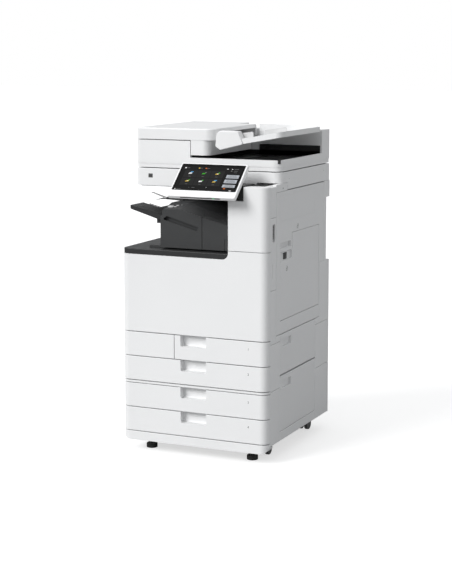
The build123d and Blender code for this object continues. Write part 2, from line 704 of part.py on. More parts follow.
def power_switch():
    """A rocker in the slot on the right strip, pivoted at its middle on a small pin."""
    d0, d1, z0, z1 = switch_box()
    x_in = frame_half + PLAY + SKIN
    middle = (z0 + z1) / 2
    rocker = block(x_in + 1.5, x_in + 5.5, d0 + 1, d1 - 1, z0 + 8, z1 - 8)
    return rocker + rod_y(x_in + 3.5, middle, d0 + 0.3, d1 - 0.3, 1.5)


# --- paper drawers -----------------------------------------------------------------------------------------------------
def drawer_front(k):
    """Drawer k's white front with the open-topped grip pocket at its middle."""
    x0 = -HALF if k > 1 else -HALF + FILLER_WIDTH + SEAM
    z0 = drawer_z[k]
    z1 = z0 + DRAWER_HEIGHT
    panel = hollow_panel(x0, HALF, z0, z1, k > 1, True)
    half = HANDLE_WIDTH / 2
    wall = block(
        -half - SKIN, half + SKIN, 1, HANDLE_DEPTH + SKIN, z1 - HANDLE_HEIGHT - SKIN, z1 - SOFT - 0.3
    )
    pocket = block(-half, half, -1, HANDLE_DEPTH, z1 - HANDLE_HEIGHT, z1 + 1)
    low = [
        e
        for e in pocket.edges()
        if e.center().Z < z1 - HANDLE_HEIGHT + 0.01 and e.center().Y > FRONT
    ]
    shell = panel + wall - fillet(low, 6.0)
    for x in (-HANDLE_WIDTH / 2 - 16, HALF - 90):
        shell += block(x, x + 10, 1, PANEL_DEPTH + PLAY, z0 + 20, z0 + 50)
    return shell


def tray_box(k):
    """Limits of drawer k's paper tray: x0, x1, d0, d1, z0, z1."""
    right = frame_half - STEEL - TRAY_SIDE_GAP
    left = -right if k > 1 else FILLER_WIDTH - HALF - 14.0 + TRAY_SIDE_GAP
    z0 = drawer_z[k] + 6.0
    return left, right, PANEL_DEPTH + PLAY, PANEL_DEPTH + TRAY_DEPTH, z0, z0 + TRAY_HEIGHT


def drawer_tray(k):
    """Drawer k's open paper tray, with the side flanges that ride on the frame's ledges."""
    x0, x1, d0, d1, z0, z1 = tray_box(k)
    tray = block(x0, x1, d0, d1, z0, z1)
    tray -= block(x0 + TRAY_WALL, x1 - TRAY_WALL, d0 + TRAY_WALL, d1 - TRAY_WALL, z0 + TRAY_WALL, z1 + 1)
    flange = drawer_z[k] + RUNNER_RISE + PLAY
    reach = TRAY_SIDE_GAP - 2.0
    left_reach = 4.0 if k == 1 else reach
    for a, b in ((x0 - left_reach, x0 + TRAY_WALL), (x1 - TRAY_WALL, x1 + reach)):
        tray += block(a, b, FRAME_FRONT + 6, d1, flange, flange + 3)
    # paper guides: two side fences and the end stop
    for d in (d0 + 18, d1 - 22):
        tray += block(-20 if k > 1 else 80, 30 if k > 1 else 120, d, d + 2.5, z0 + 1, z1 - 12)
    tray += block(x0 + 20, x0 + 23, (d0 + d1) / 2 - 40, (d0 + d1) / 2 + 40, z0 + 1, z1 - 12)
    # ears that hold the lift plate's pins
    px, pz = lift_axis(k)
    for d in (d0 + 34, d1 - 44):
        tray += block(px - 6, px + 6, d, d + 4, z0 + 1, pz + 6)
        tray -= rod_y(px, pz, d - 1, d + 5, 2.0 + RUN)
    return tray


def lift_axis(k):
    """X and height of the axis that drawer k's lift plate turns on."""
    x0, _, _, _, z0, _ = tray_box(k)
    return x0 + 60.0, z0 + TRAY_WALL + 4.5


def lift_plate(k):
    """Drawer k's steel plate, which raises the paper to the pickup rollers at the right."""
    _, x1, d0, d1, _, _ = tray_box(k)
    px, pz = lift_axis(k)
    plate = block(px + 4, x1 - 8, d0 + 24, d1 - 26, pz - 0.75, pz - 0.75 + PLATE_THICK)
    for d in (d0 + 34, d1 - 44):
        plate -= block(px - 9, px + 9, d - 1, d + 5, pz - 9, pz + 9)
        plate += rod_y(px, pz, d + 0.3, d + 3.7, 2.0)
        plate += block(px - 3, px + 14, d + 4.5, d + 7, pz - 2, pz + 2)
        plate += rod_y(px, pz, d + 0.3, d + 7, 2.0)
    for d in (d0 + 16, d1 - 24):
        x = -21 if k > 1 else 79
        plate -= block(x, x + 52 if k > 1 else x + 42, d - 5, d + 10, pz - 5, pz + 5)
    return plate


# --- doors on the right ---------------------------------------------------------------------------------------------------
def right_door():
    """The upper door over the paper path. A window in it holds the bypass tray."""
    d0, d1 = STRIP_END, BODY_DEPTH - DOOR_REAR
    z0, z1 = DOOR_BOTTOM, reader_z - 4.0
    x_in = HALF - DOOR_THICK
    outer = block(x_in, HALF, d0, d1, z0, z1)
    outer -= block(x_in - 1, HALF + 1, d1 - DOOR_STEP, d1 + 1, z0 - 1, DOOR_STEP_Z)
    outer = fillet([e for e in outer.edges() if abs(e.center().X - HALF) < 0.01], SOFT)
    inner = block(x_in - 1, HALF - SKIN, d0 + SKIN, d1 - SKIN, z0 + SKIN, z1 - SKIN)
    inner -= block(x_in - 2, HALF, d1 - DOOR_STEP - SKIN, d1, z0, DOOR_STEP_Z + SKIN)
    door = outer - inner
    b0, b1, y0, y1 = bypass_box()
    # the pan behind the bypass tray
    gap = SWING
    pan = block(x_in, HALF - 1, b0 - gap - SKIN, b1 + gap + SKIN, y0 - gap - SKIN, y1 + gap + SKIN)
    well = block(x_in + 2, HALF + 1, b0 - gap, b1 + gap, y0 - gap, y1 + gap)
    keep = block(
        x_in, HALF, b0 - gap - 0.5, b0 + LATCH_WIDTH - gap, y1 - LATCH_HEIGHT + gap, y1 + gap + 0.5
    )
    door = door + pan - (well - keep) + (keep & outer)
    hollow = block(HALF - 9, HALF + 1, b0, b0 + 98, y1 - 45, y1 - 26)
    door -= hollow
    # groove round the upper panel
    g0, g1, h0, h1 = 110.0, d1 - 94.0, z1 - 104.0, z1 - 12.0
    groove = block(HALF - 0.7, HALF + 1, g0, g1, h0, h1) - block(
        HALF - 2, HALF + 2, g0 + 1.2, g1 - 1.2, h0 + 1.2, h1 - 1.2
    )
    door -= groove
    # bores for the bypass tray's pins
    for d in (b0 - gap - SKIN - 1, b1 - 3):
        door -= rod_y(bypass_axis()[0], bypass_axis()[1], d, d + 8, PIN_RADIUS + RUN)
    for at in upper_hinges():
        door = fit_hinge(door, at, DOOR_THICK)
    return door


def bypass_box():
    """Depths and heights of the bypass tray."""
    top = reader_z - 4.0 - BYPASS_DROP
    return BYPASS_FRONT, BYPASS_FRONT + BYPASS_WIDTH, top - BYPASS_HEIGHT, top


def bypass_axis():
    """X and height of the axis that the bypass tray folds down on."""
    return HALF - BYPASS_THICK / 2, bypass_box()[2] + 6.0


def bypass_tray():
    """The folding tray on the upper door, notched at its upper front corner by the latch."""
    b0, b1, z0, z1 = bypass_box()
    x_in = HALF - BYPASS_THICK
    outline = shape_of(
        [
            (b0, z0), (b1, z0), (b1, z1), (b0 + LATCH_WIDTH + 2, z1),
            (b0 + LATCH_WIDTH + 2, z1 - LATCH_HEIGHT), (b0, z1 - LATCH_HEIGHT),
        ]
    )
    tray = side_slab(outline, x_in, HALF)
    tray = fillet([e for e in tray.edges() if abs(e.center().X - HALF) < 0.01], SOFT)
    tray -= block(x_in - 1, HALF - SKIN, b0 + 3, b1 - 3, z0 + 14, z1 - LATCH_HEIGHT - 40)
    tray -= block(x_in - 1, HALF - SKIN, b0 + LATCH_WIDTH + 5, b1 - 3, z0 + 14, z1 - 3)
    grip_z = z1 - LATCH_HEIGHT - 2.0
    tray -= block(HALF - 6, HALF + 1, b0 + 3, b0 + LATCH_WIDTH - 3, grip_z - 27, grip_z)
    # lower edge rounded so that it clears the well as the tray folds down
    inner_low = [
        e
        for e in tray.edges().filter_by(Axis.Y)
        if abs(e.center().X - x_in) < 0.01 and abs(e.center().Z - z0) < 0.01
    ]
    tray = fillet(inner_low, 4.0)
    x, z = bypass_axis()
    tray += rod_y(x, z, b0 - SWING - 2.5, b0 + 8, PIN_RADIUS)
    tray += rod_y(x, z, b1 - 8, b1 + SWING + 2.5, PIN_RADIUS)
    return tray


def small_door(z0, z1, hinges):
    """A plain door on the right, with a finger grip at its upper front corner."""
    d0, d1 = LOW_DOOR_FRONT, BODY_DEPTH - LOW_DOOR_REAR
    x_in = HALF - DOOR_THICK
    outer = block(x_in, HALF, d0, d1, z0, z1)
    outer = fillet([e for e in outer.edges() if abs(e.center().X - HALF) < 0.01], SOFT)
    inner = block(x_in - 1, HALF - SKIN, d0 + SKIN, d1 - SKIN, z0 + SKIN, z1 - SKIN)
    hollow, wall = grip(HALF, d0 + 21, z1 - 18)
    door = outer - inner + wall - hollow
    for at in hinges:
        door = fit_hinge(door, at, DOOR_THICK)
    return door


def middle_door():
    """The door beside drawers 1 and 2, with its lower edge just above the unit's door."""
    z0, z1 = middle_split() + SEAM, DOOR_BOTTOM - SEAM
    return small_door(z0, z1, low_hinges(z0, z1))


def middle_split():
    """Height of the joint between the two small doors."""
    return unit_split + 42.0


def lower_door():
    """The feeding unit's door."""
    return small_door(
        LOW_DOOR_BOTTOM, middle_split() - SEAM, low_hinges(LOW_DOOR_BOTTOM, unit_split + 20)
    )


# --- reader -------------------------------------------------------------------------------------------------------------------
def reader_case():
    """The scanner's case: a hollow box with windows for its two glasses and a guide rod."""
    d0, d1 = READER_FRONT, BODY_DEPTH - READER_REAR
    outer = block(-HALF, HALF, d0, d1, reader_z, reader_top)
    outer = round_corners(outer, [(-HALF, d0, LEFT_ROUND), (HALF, d0, RIGHT_ROUND)])
    outer = soften(outer, reader_top, d1, 2.0)
    outer -= block(
        tower_step_x() - SWING, HALF + 1, d0 - 1, READER_NOTCH_DEPTH,
        reader_z - 1, reader_z + READER_NOTCH_HEIGHT,
    )
    inner = block(
        -HALF + SKIN, HALF - SKIN, READER_NOTCH_DEPTH + SKIN, d1 - SKIN, reader_z + SKIN, reader_top - SKIN
    )
    front_bay = block(
        -HALF + SKIN, tower_step_x() - SWING - SKIN, d0 + SKIN, READER_NOTCH_DEPTH + SKIN + 1,
        reader_z + SKIN, reader_top - SKIN,
    )
    front_bay = round_corners(front_bay, [(-HALF + SKIN, d0 + SKIN, LEFT_ROUND - SKIN)])
    case = outer - inner - front_bay
    x0, x1, g0, g1 = glass_box()
    case -= block(x0 - PLAY, x1 + PLAY, g0 - PLAY, g1 + PLAY, reader_top - 1.5, reader_top + 1)
    case -= block(x0 + 4, x1 - 4, g0 + 4, g1 - 4, reader_top - 10, reader_top + 1)
    slit = slit_box()
    case -= block(slit[0] - PLAY, slit[1] + PLAY, g0 - PLAY, g1 + PLAY, reader_top - 1.5, reader_top + 1)
    case -= block(slit[0] + 4, slit[1] - 4, g0 + 4, g1 - 4, reader_top - 10, reader_top + 1)
    rod_d, rod_z_level = carriage_rod()
    case += rod_x(rod_d, rod_z_level, -HALF + SKIN - 1, HALF - SKIN + 1, ROD_RADIUS)
    return case


def tower_step_x():
    """X of the upright side of the tower's step."""
    return HALF - TOWER_WIDTH + TOWER_STEP_WIDTH


def glass_box():
    """X and depth limits of the platen glass."""
    x1 = HALF - GLASS_RIGHT
    g0 = READER_FRONT + 68.0
    return x1 - GLASS_WIDTH, x1, g0, g0 + GLASS_DEPTH


def slit_box():
    """X limits of the narrow glass that the feeder's originals pass over."""
    x1 = glass_box()[0] - 16.0
    return x1 - 26.0, x1


def carriage_rod():
    """Depth and height of the rod that the scan carriage slides on."""
    return READER_FRONT + 68.0 + GLASS_DEPTH / 2, reader_z + 14.0


def platen_glass():
    """The large platen glass and the narrow reading glass beside it, seated in the case."""
    x0, x1, g0, g1 = glass_box()
    slit = slit_box()
    z0, z1 = reader_top - 1.5 + 0.02, reader_top - 0.1
    return Compound([block(x0, x1, g0, g1, z0, z1), block(slit[0], slit[1], g0, g1, z0, z1)])


def scan_carriage():
    """The carriage with its sensor bar, at its home place below the narrow glass."""
    _, _, g0, g1 = glass_box()
    rod_d, rod_level = carriage_rod()
    x = (slit_box()[0] + slit_box()[1]) / 2
    half = CARRIAGE_WIDTH / 2
    body = block(x - half, x + half, g0 + 2, g1 - 2, rod_level - 2, reader_top - SKIN - 8)
    body -= block(x - half + 6, x + half - 6, g0 + 10, g1 - 10, reader_top - SKIN - 14, reader_top)
    boss = block(x - half, x + half, rod_d - 9, rod_d + 9, rod_level - 9, rod_level + 10)
    return body + boss - rod_x(rod_d, rod_level, x - half - 1, x + half + 1, ROD_RADIUS + RUN)


def hinge_axis():
    """Depth and height of the axis that the whole feeder opens on."""
    return BODY_DEPTH - READER_REAR - HINGE_IN, feeder_z + HINGE_UP


def feeder_hinges():
    """The two hinge brackets on the reader's rear edge, each with its pin."""
    d, z = hinge_axis()
    made = []
    for x in (-HALF + 90, HALF - 90):
        foot = block(x - 20, x + 20, d - 26, d + 8, reader_top + 0.02, reader_top + 3)
        ear = block(x - 4, x + 4, d - 7, d + 7, reader_top + 1, z) + rod_x(d, z, x - 4, x + 4, 7.0)
        made.append(foot + ear + rod_x(d, z, x - 15.5, x + 15.5, 4.0))
    return Compound(made)


# --- document feeder ------------------------------------------------------------------------------------------------------------
def feeder_base():
    """The feeder's body: the rimmed output tray, the block on its left and the part behind."""
    d0, d1 = READER_FRONT, BODY_DEPTH - READER_REAR
    block_x = -HALF + BLOCK_RIGHT
    back_d = d1 - TOWER_WALL_DEPTH
    lower = block(-HALF, HALF, d0, d1, feeder_z, rim_z)
    lower = round_corners(lower, [(-HALF, d0, LEFT_ROUND), (HALF, d0, RIGHT_ROUND)])
    lower = soften(lower, feeder_z, d1, 2.0)
    upper = block(-HALF, block_x, d0, d1, rim_z - 1, block_z)
    upper = round_corners(upper, [(-HALF, d0, LEFT_ROUND)])
    rear = block(-HALF, HALF, back_d, d1, rim_z - 1, feeder_top - REAR_WALL_DROP)
    rear -= block(-HALF - 1, block_x + 1, back_d - 1, d1 + 1, block_z, feeder_top)
    base = lower + upper + rear
    # a shallow band round the lower edge
    band = block(-HALF - 1, HALF + 1, d0 - 1, d1 + 1, feeder_z - 1, feeder_z + 15)
    core = block(-HALF + 1.5, HALF - 1.5, d0 + 1.5, d1 - 1.5, feeder_z - 2, feeder_z + 16)
    core = round_corners(core, [(-HALF + 1.5, d0 + 1.5, LEFT_ROUND - 1.5), (HALF - 1.5, d0 + 1.5, RIGHT_ROUND - 1.5)])
    base -= band - core
    # the output tray's hollow
    base -= block(
        block_x + SKIN, HALF - 7.0, d0 + 6.0, back_d + 0.01, rim_z - 12.0, rim_z + 1.0
    )
    # hollow from below, and the room for the feeding rollers in the block
    under = rim_z - 12.0 - SKIN
    base -= block(-HALF + 5, HALF - 5, d0 + 38, d1 - 5, feeder_z - 1, under)
    base -= block(-HALF + 5, block_x - 5, d0 + 5, back_d - 5, under + SKIN, block_z + 1)
    base -= block(block_x + 8, HALF - 5, back_d + 5, d1 - 5, under - 1, feeder_top - REAR_WALL_DROP - SKIN)
    base -= block(block_x - 6, block_x + 1, d0 + 30, back_d - 20, rim_z + 8, rim_z + 30)
    # seats for the two hinge pins
    hd, hz = hinge_axis()
    for x in (-HALF + 90, HALF - 90):
        for side in (-1, 1):
            a, b = sorted((x + side * 5.5, x + side * 16.0))
            base += block(a, b, hd - 8, d1 - 2, hz - 8, under + 1)
            base -= rod_x(hd, hz, a - 1, b + 1, 4.0 + RUN)
        base -= block(x - 5.5, x + 5.5, hd - 30, d1 + 1, feeder_z - 1, hz + 9)
        base -= block(x - 21, x + 21, hd - 27, d1 + 1, feeder_z - 1, hz - 8)
    # ears and pins of the top cover's hinges
    for at in cap_hinges():
        neck = at * (Pos(1.8, -2.5, 0) * Box(2.0, 5.0, 5.6))
        base += neck + at * Cylinder(2.2, 5.6) + at * Cylinder(HINGE_PIN, 18)
    # bore and inner lug for the document tray's shaft
    ax, az = input_axis()
    base += block(ax - 9, ax + 9, back_d + 1, back_d + 14, az - 9, az + 9)
    base -= rod_y(ax, az, back_d - 1, back_d + 13, 4.0 + RUN)
    # the white pad that presses originals on the glass
    x0, x1, g0, g1 = glass_box()
    pad = block(x0 - 4, x1 - 4, g0 - 10, g1 + 10, feeder_z - 2.5, feeder_z + 1.5)
    stem = block(x0 + 30, x1 - 30, g0 + 30, g0 + 40, feeder_z + 1, under - PLAY)
    stem += block(x0 + 30, x1 - 30, g1 - 40, g1 - 30, feeder_z + 1, under - PLAY)
    return Compound([base, pad + stem])


def cap_axis():
    """X and height of the axis that the feeder's top cover opens on."""
    return -HALF + 4.5, cap_z + 2.0


def cap_hinges():
    """Where the two small hinges of the feeder's top cover sit, with their pins along Y."""
    x, z = cap_axis()
    back = BODY_DEPTH - READER_REAR - TOWER_WALL_DEPTH
    return [Pos(x, FRONT + d, z) * Rot(90, 0, 0) for d in (READER_FRONT + 50, back - 60)]


def feeder_top_cover():
    """The feeder's top cover, with the chin that closes the front over the output slot."""
    d0 = READER_FRONT
    d1 = BODY_DEPTH - READER_REAR
    back_d = d1 - TOWER_WALL_DEPTH
    x1 = -HALF + CAP_WIDTH
    block_x = -HALF + BLOCK_RIGHT
    cap = block(-HALF, x1, d0, d1, cap_z, feeder_top)
    cap = round_corners(cap, [(-HALF, d0, LEFT_ROUND), (x1, d0, RIGHT_ROUND)])
    cap = soften(cap, feeder_top, d1 + 1, 5.0)
    cap = fillet(
        [e for e in cap.edges().filter_by(Axis.Y)
         if e.center().X < -HALF + 0.01 and e.center().Z < cap_z + 0.01],
        1.5,
    )
    cap -= block(block_x - 1, x1 + 1, back_d - 2, d1 + 1, cap_z - 1, feeder_top - REAR_WALL_DROP + 3)
    cap -= block(block_x + 22, x1 + 1, back_d - 18, d1 + 1, cap_z - 1, feeder_top + 1)
    inner = block(-HALF + SKIN, x1 - SKIN, d0 + SKIN, back_d - 18 - SKIN, cap_z - 1, feeder_top - SKIN)
    inner = round_corners(
        inner, [(-HALF + SKIN, d0 + SKIN, LEFT_ROUND - SKIN), (x1 - SKIN, d0 + SKIN, RIGHT_ROUND - SKIN)]
    )
    cap -= inner
    cap -= block(-HALF + SKIN, block_x - 1 - SKIN, back_d - 22, d1 - SKIN, cap_z - 1, feeder_top - SKIN)
    # the slot that originals enter by, in the cover's right side
    cap -= block(x1 - SKIN - 1, x1 + 1, d0 + 48, back_d - 24, cap_z - 1, feeder_top - 14)
    # the chin, a shell that hangs below the cap's front
    c0, c1 = block_x + 2.5, block_x + 2.5 + CHIN_WIDTH
    chin = block(c0, c1, d0 + 1.0, back_d - 18 - SKIN, cap_z - CHIN_DROP, cap_z + 1)
    chin = round_corners(chin, [(c1, d0 + 1.0, 26.0)])
    core = block(
        c0 + SKIN, c1 - SKIN, d0 + 1 + SKIN, back_d - 18 - 2 * SKIN,
        cap_z - CHIN_DROP + SKIN, cap_z + 2,
    )
    core = round_corners(core, [(c1 - SKIN, d0 + 1 + SKIN, 26.0 - SKIN)])
    chin -= core
    # the right side of the chin is open where the pickup roller meets the originals
    chin -= block(c1 - SKIN - 1, c1 + 1, d0 + 60, back_d - 20, cap_z - 22, cap_z + 2)
    cover = cap + chin
    for at in cap_hinges():
        knuckles = Pos(0, 0, 6.2) * Cylinder(3.0, 6.0) + Pos(0, 0, -6.2) * Cylinder(3.0, 6.0)
        cover -= at * Box(6.0, 9.0, 6.4)
        cover += at * knuckles
        cover -= at * Cylinder(HINGE_PIN + RUN, 30)
    # shaft seats for the pickup roller
    rx, rz = roller_axis()
    for d in (roller_span()[0] - 14, roller_span()[1] + 9):
        cover += block(rx - 8, rx + 8, d, d + 5, rz - 8, feeder_top - SKIN + 0.5)
        cover -= rod_y(rx, rz, d - 1, d + 6, PIN_RADIUS + RUN)
    return cover


def roller_axis():
    """X and height of the pickup roller's axis."""
    return -HALF + CAP_WIDTH - 42.0, cap_z + 4.0


def roller_span():
    """Depth limits of the pickup roller."""
    middle = (READER_FRONT + BODY_DEPTH - READER_REAR - TOWER_WALL_DEPTH) / 2
    return middle - 25.0, middle + 25.0


def feed_roller():
    """The rubber pickup roller on its shaft."""
    x, z = roller_axis()
    d0, d1 = roller_span()
    return rod_y(x, z, d0, d1, ROLLER_RADIUS) + rod_y(x, z, d0 - 14.5, d1 + 14.5, PIN_RADIUS)


def input_axis():
    """X and height of the axis that the document tray lifts on."""
    x = -HALF + INPUT_LEFT + 22.0
    return x, input_rim(x) - 10.0


def input_rim(x):
    """Height of the upper edge of the document tray's front rim, at one X."""
    start = -HALF + INPUT_LEFT
    return rim_z + INPUT_RISE + INPUT_RIM + (x - start) * math.tan(math.radians(INPUT_TILT)) - 15.0


def input_depths():
    """Front and rear depth of the document tray."""
    return READER_FRONT + 7.0, BODY_DEPTH - READER_REAR - TOWER_WALL_DEPTH - 18.0


def sloped(x0, x1, upper, lower):
    """An outline that follows the document tray's slope, between two offsets from its rim."""
    return shape_of(
        [
            (x0, input_rim(x0) + upper), (x1, input_rim(x1) + upper),
            (x1, input_rim(x1) + lower), (x0, input_rim(x0) + lower),
        ]
    )


def document_tray():
    """The sloping tray for originals: rimmed plate, hinge cheek at the front, wall at the rear."""
    x0, x1 = -HALF + INPUT_LEFT, HALF - 2.0
    d0, d1 = input_depths()
    tray = front_slab(sloped(x0, x1, 0, -INPUT_RIM), d0, d1)
    tray = round_corners(tray, [(x1, d0, 24.0)])
    for upper, lower in ((5, -3), (-7, -INPUT_RIM - 5)):
        pocket = front_slab(sloped(x0 - 1, x1 - 4, upper, lower), d0 + 5, d1 + 1)
        tray -= round_corners(pocket, [(x1 - 4, d0 + 5, 20.0)])
    wall_top = feeder_top + 1.0
    tray += front_slab(
        shape_of(
            [
                (x0 + 4, input_rim(x0) - 5), (x1 - 1, input_rim(x1) - 5),
                (x1 - 1, wall_top - 12), (x1 - 12, wall_top), (x0 + 4, wall_top),
            ]
        ),
        d1 - 3.5, d1 - 0.5,
    )
    # hinge cheek
    cheek = front_slab(cheek_outline(), d0 - 5, d0 + 26)
    cheek_edges = [e for e in cheek.edges() if e.center().Y < FRONT + d0 - 4.99]
    tray += fillet(cheek_edges, 3.0)
    # shaft under the plate, on which the tray lifts
    ax, az = input_axis()
    tray += rod_y(ax, az, d0 + 2, d1 + 18 + 12, 4.0)
    # slot that the two guides run in
    gx = guide_x()
    tray -= block(
        gx + 20, gx + 28, d0 + 30, d1 - 30, input_rim(gx + 24) - 12, input_rim(gx + 24) + 2
    )
    return tray


def cheek_outline():
    """The outline of the hinge cheek, seen from the front."""
    x = -HALF + INPUT_LEFT
    z = rim_z
    points = [
        (x - 5, z + 42), (x - 1, z + 88), (x + 12, z + 98), (x + 82, z + 97),
        (x + 102, z + 52), (x + 14, z + 30),
    ]
    return fillet(shape_of(points).vertices(), 6.0)


def guide_x():
    """Left end of the document guides."""
    return -HALF + INPUT_LEFT + 40.0


def document_guide(front):
    """One of the two guides that centre the originals, standing on the document tray."""
    d0, d1 = input_depths()
    d = d0 + 30.0 if front else d1 - 33.0
    x = guide_x()
    low, high = input_rim(x) - 3 + PLAY, input_rim(x + GUIDE_LENGTH) - 3 + PLAY
    fence = front_slab(
        shape_of(
            [
                (x, low), (x + GUIDE_LENGTH, high), (x + GUIDE_LENGTH, high + GUIDE_HEIGHT - 3),
                (x, low + GUIDE_HEIGHT),
            ]
        ),
        d, d + 3,
    )
    upper = [
        e
        for e in fence.edges().filter_by(Axis.Y)
        if e.center().X > x + GUIDE_LENGTH - 1 and e.center().Z > high + 1
    ]
    fence = fillet(upper, GUIDE_HEIGHT / 4)
    slot = x + 20
    z = input_rim(slot + 4)
    tongue = block(slot + 1, slot + 7, d, d + 3, z - 10, z + 4)
    foot = block(slot - 3, slot + 11, d - 2, d + 5, z - 11, z - 9)
    return fence + tongue + foot


# --- control panel -----------------------------------------------------------------------------------------------------------------
def panel_frame():
    """Location whose origin is the middle of the screen side, X right, Y up the slope, Z outwards."""
    angle = math.radians(PANEL_TILT)
    mid_d = (
        (PANEL_LENGTH / 2 - PANEL_SOFT) * math.cos(angle)
        + PANEL_SOFT * (1 - math.sin(angle)) - PANEL_REACH
    )
    mid_z = cover_top + PANEL_RISE + PANEL_LENGTH / 2 * math.sin(angle)
    mid_x = HALF - PANEL_RIGHT - PANEL_WIDTH / 2
    return Pos(mid_x, FRONT + mid_d, mid_z) * Rot(PANEL_TILT, 0, 0)


def tilt_axis():
    """Depth and height of the axis that the panel tilts on."""
    return 38.0, cover_top + PANEL_RISE + 24.0


def panel_housing():
    """The screen's white housing, with the two lugs that turn on the arm's pin."""
    at = panel_frame()
    slab = Pos(0, 0, -PANEL_THICK / 2) * Box(PANEL_WIDTH, PANEL_LENGTH, PANEL_THICK)
    slab = fillet(slab.edges().filter_by(Axis.Z), 6.0)
    slab = fillet(slab.faces().sort_by(Axis.Z)[-1].edges(), PANEL_SOFT)
    slab = fillet(slab.faces().sort_by(Axis.Z)[0].edges(), 5.0)
    well = screen_well(PLAY)
    slab -= well
    hollow = Pos(0, 0, -PANEL_THICK / 2 - 1) * Box(
        PANEL_WIDTH - 2 * SKIN - 4, PANEL_LENGTH - 2 * SKIN - 4, PANEL_THICK - 2 * SKIN - 2
    )
    window = Pos(0, 20, -6) * Box(PANEL_WIDTH - 80, PANEL_LENGTH - 80, 12)
    slab = slab - hollow - window
    housing = at * slab
    d, z = tilt_axis()
    x_arm = arm_x()[0]
    for x in (x_arm - 92, x_arm - 28):
        lug = rod_x(d, z, x, x + 24, 11.0)
        neck = Pos(x + 12, FRONT + d, z) * Rot(PANEL_TILT, 0, 0) * Pos(0, 0, lug_reach() / 2) * Box(
            24, 22, lug_reach()
        )
        housing += (lug + neck) - at * Box(600, 600, 2 * (PANEL_THICK - SKIN))
        housing -= rod_x(d, z, x - 1, x + 25, TILT_PIN + RUN)
    return housing


def lug_reach():
    """Distance from the tilt axis to the back of the panel."""
    at = panel_frame().position
    d, z = tilt_axis()
    angle = math.radians(PANEL_TILT)
    away = (at.Y - FRONT - d) * -math.sin(angle) + (at.Z - z) * math.cos(angle)
    return away - PANEL_THICK + SKIN - 0.5


def screen_well(margin):
    """The recess for the screen, in the panel's own frame."""
    width = PANEL_WIDTH - 2 * SCREEN_MARGIN
    length = PANEL_LENGTH - SCREEN_MARGIN - SCREEN_BOTTOM
    shift = (SCREEN_BOTTOM - SCREEN_MARGIN) / 2
    box = Box(width + 2 * margin, length + 2 * margin, 2 * (SCREEN_THICK + margin))
    return Pos(0, shift, 0) * fillet(box.edges().filter_by(Axis.Z), 3.0)


def panel_glass():
    """The touch screen's glass, set in the housing."""
    slab = screen_well(0.0) & (Pos(0, 0, -PANEL_THICK) * Box(600, 600, 2 * PANEL_THICK - 0.4))
    return panel_frame() * slab


def arm_x():
    """X limits of the block that carries the control panel."""
    x0 = HALF - TOWER_WIDTH + 3.0
    return x0, HALF - TOWER_WIDTH + TOWER_STEP_WIDTH - SWING


def panel_arm():
    """The dark arm on the tower's step, with the pin that the panel turns on."""
    x0, x1 = arm_x()
    d, z = tilt_axis()
    foot_z = tower_top - TOWER_STEP_DROP + 0.02
    body = block(x0, x1, d - 24, READER_FRONT - 14, foot_z, z + 12)
    body = fillet(body.edges().filter_by(Axis.X), 5.0)
    return body + rod_x(d, z, x0 - 94, x0 + 2, TILT_PIN)


# --- finisher ------------------------------------------------------------------------------------------------------------------------
def finisher_limits():
    """X limits and underside of the finisher."""
    x1 = HALF - TOWER_WIDTH - SWING - 2.0
    z0 = cover_top - LIP_DROP + LIP_HEIGHT + 6.0
    return x1 - FINISHER_WIDTH, x1, z0


def finisher_profile(lift):
    """Front outline of the finisher, its top edge falling to the right, raised by lift."""
    x0, x1, z0 = finisher_limits()
    high = z0 + FINISHER_HEIGHT + lift
    low = high - FINISHER_FALL
    split = x1 - STAPLE_DOOR_WIDTH
    return [
        (x0, z0), (x1, z0), (x1, low), (split, high - 0.46 * FINISHER_FALL),
        (x0 + 0.3 * FINISHER_WIDTH, high), (x0 + 13, high - 2),
        (x0 + 7, high - 9), (x0 + 7, high - 26), (x0, high - 30),
    ]


def finisher_shape(inset):
    """The finisher's whole outer form, front hood included, taken in by inset."""
    d0, d1 = FINISHER_FRONT + inset, FINISHER_FRONT + FINISHER_DEPTH - inset
    hood = FINISHER_FRONT + HOOD_DEPTH

    def outline(d, lift):
        plane = Plane((0, FRONT + d, 0), x_dir=(1, 0, 0), z_dir=(0, -1, 0))
        face = shape_of(finisher_profile(lift))
        return plane * (offset(face, -inset, kind=Kind.INTERSECTION) if inset else face)

    front = loft([outline(hood, HOOD_RISE), outline(d0, 0.0)])
    rear = extrude(outline(d1, HOOD_RISE), amount=d1 - hood + 0.0)
    return front + rear


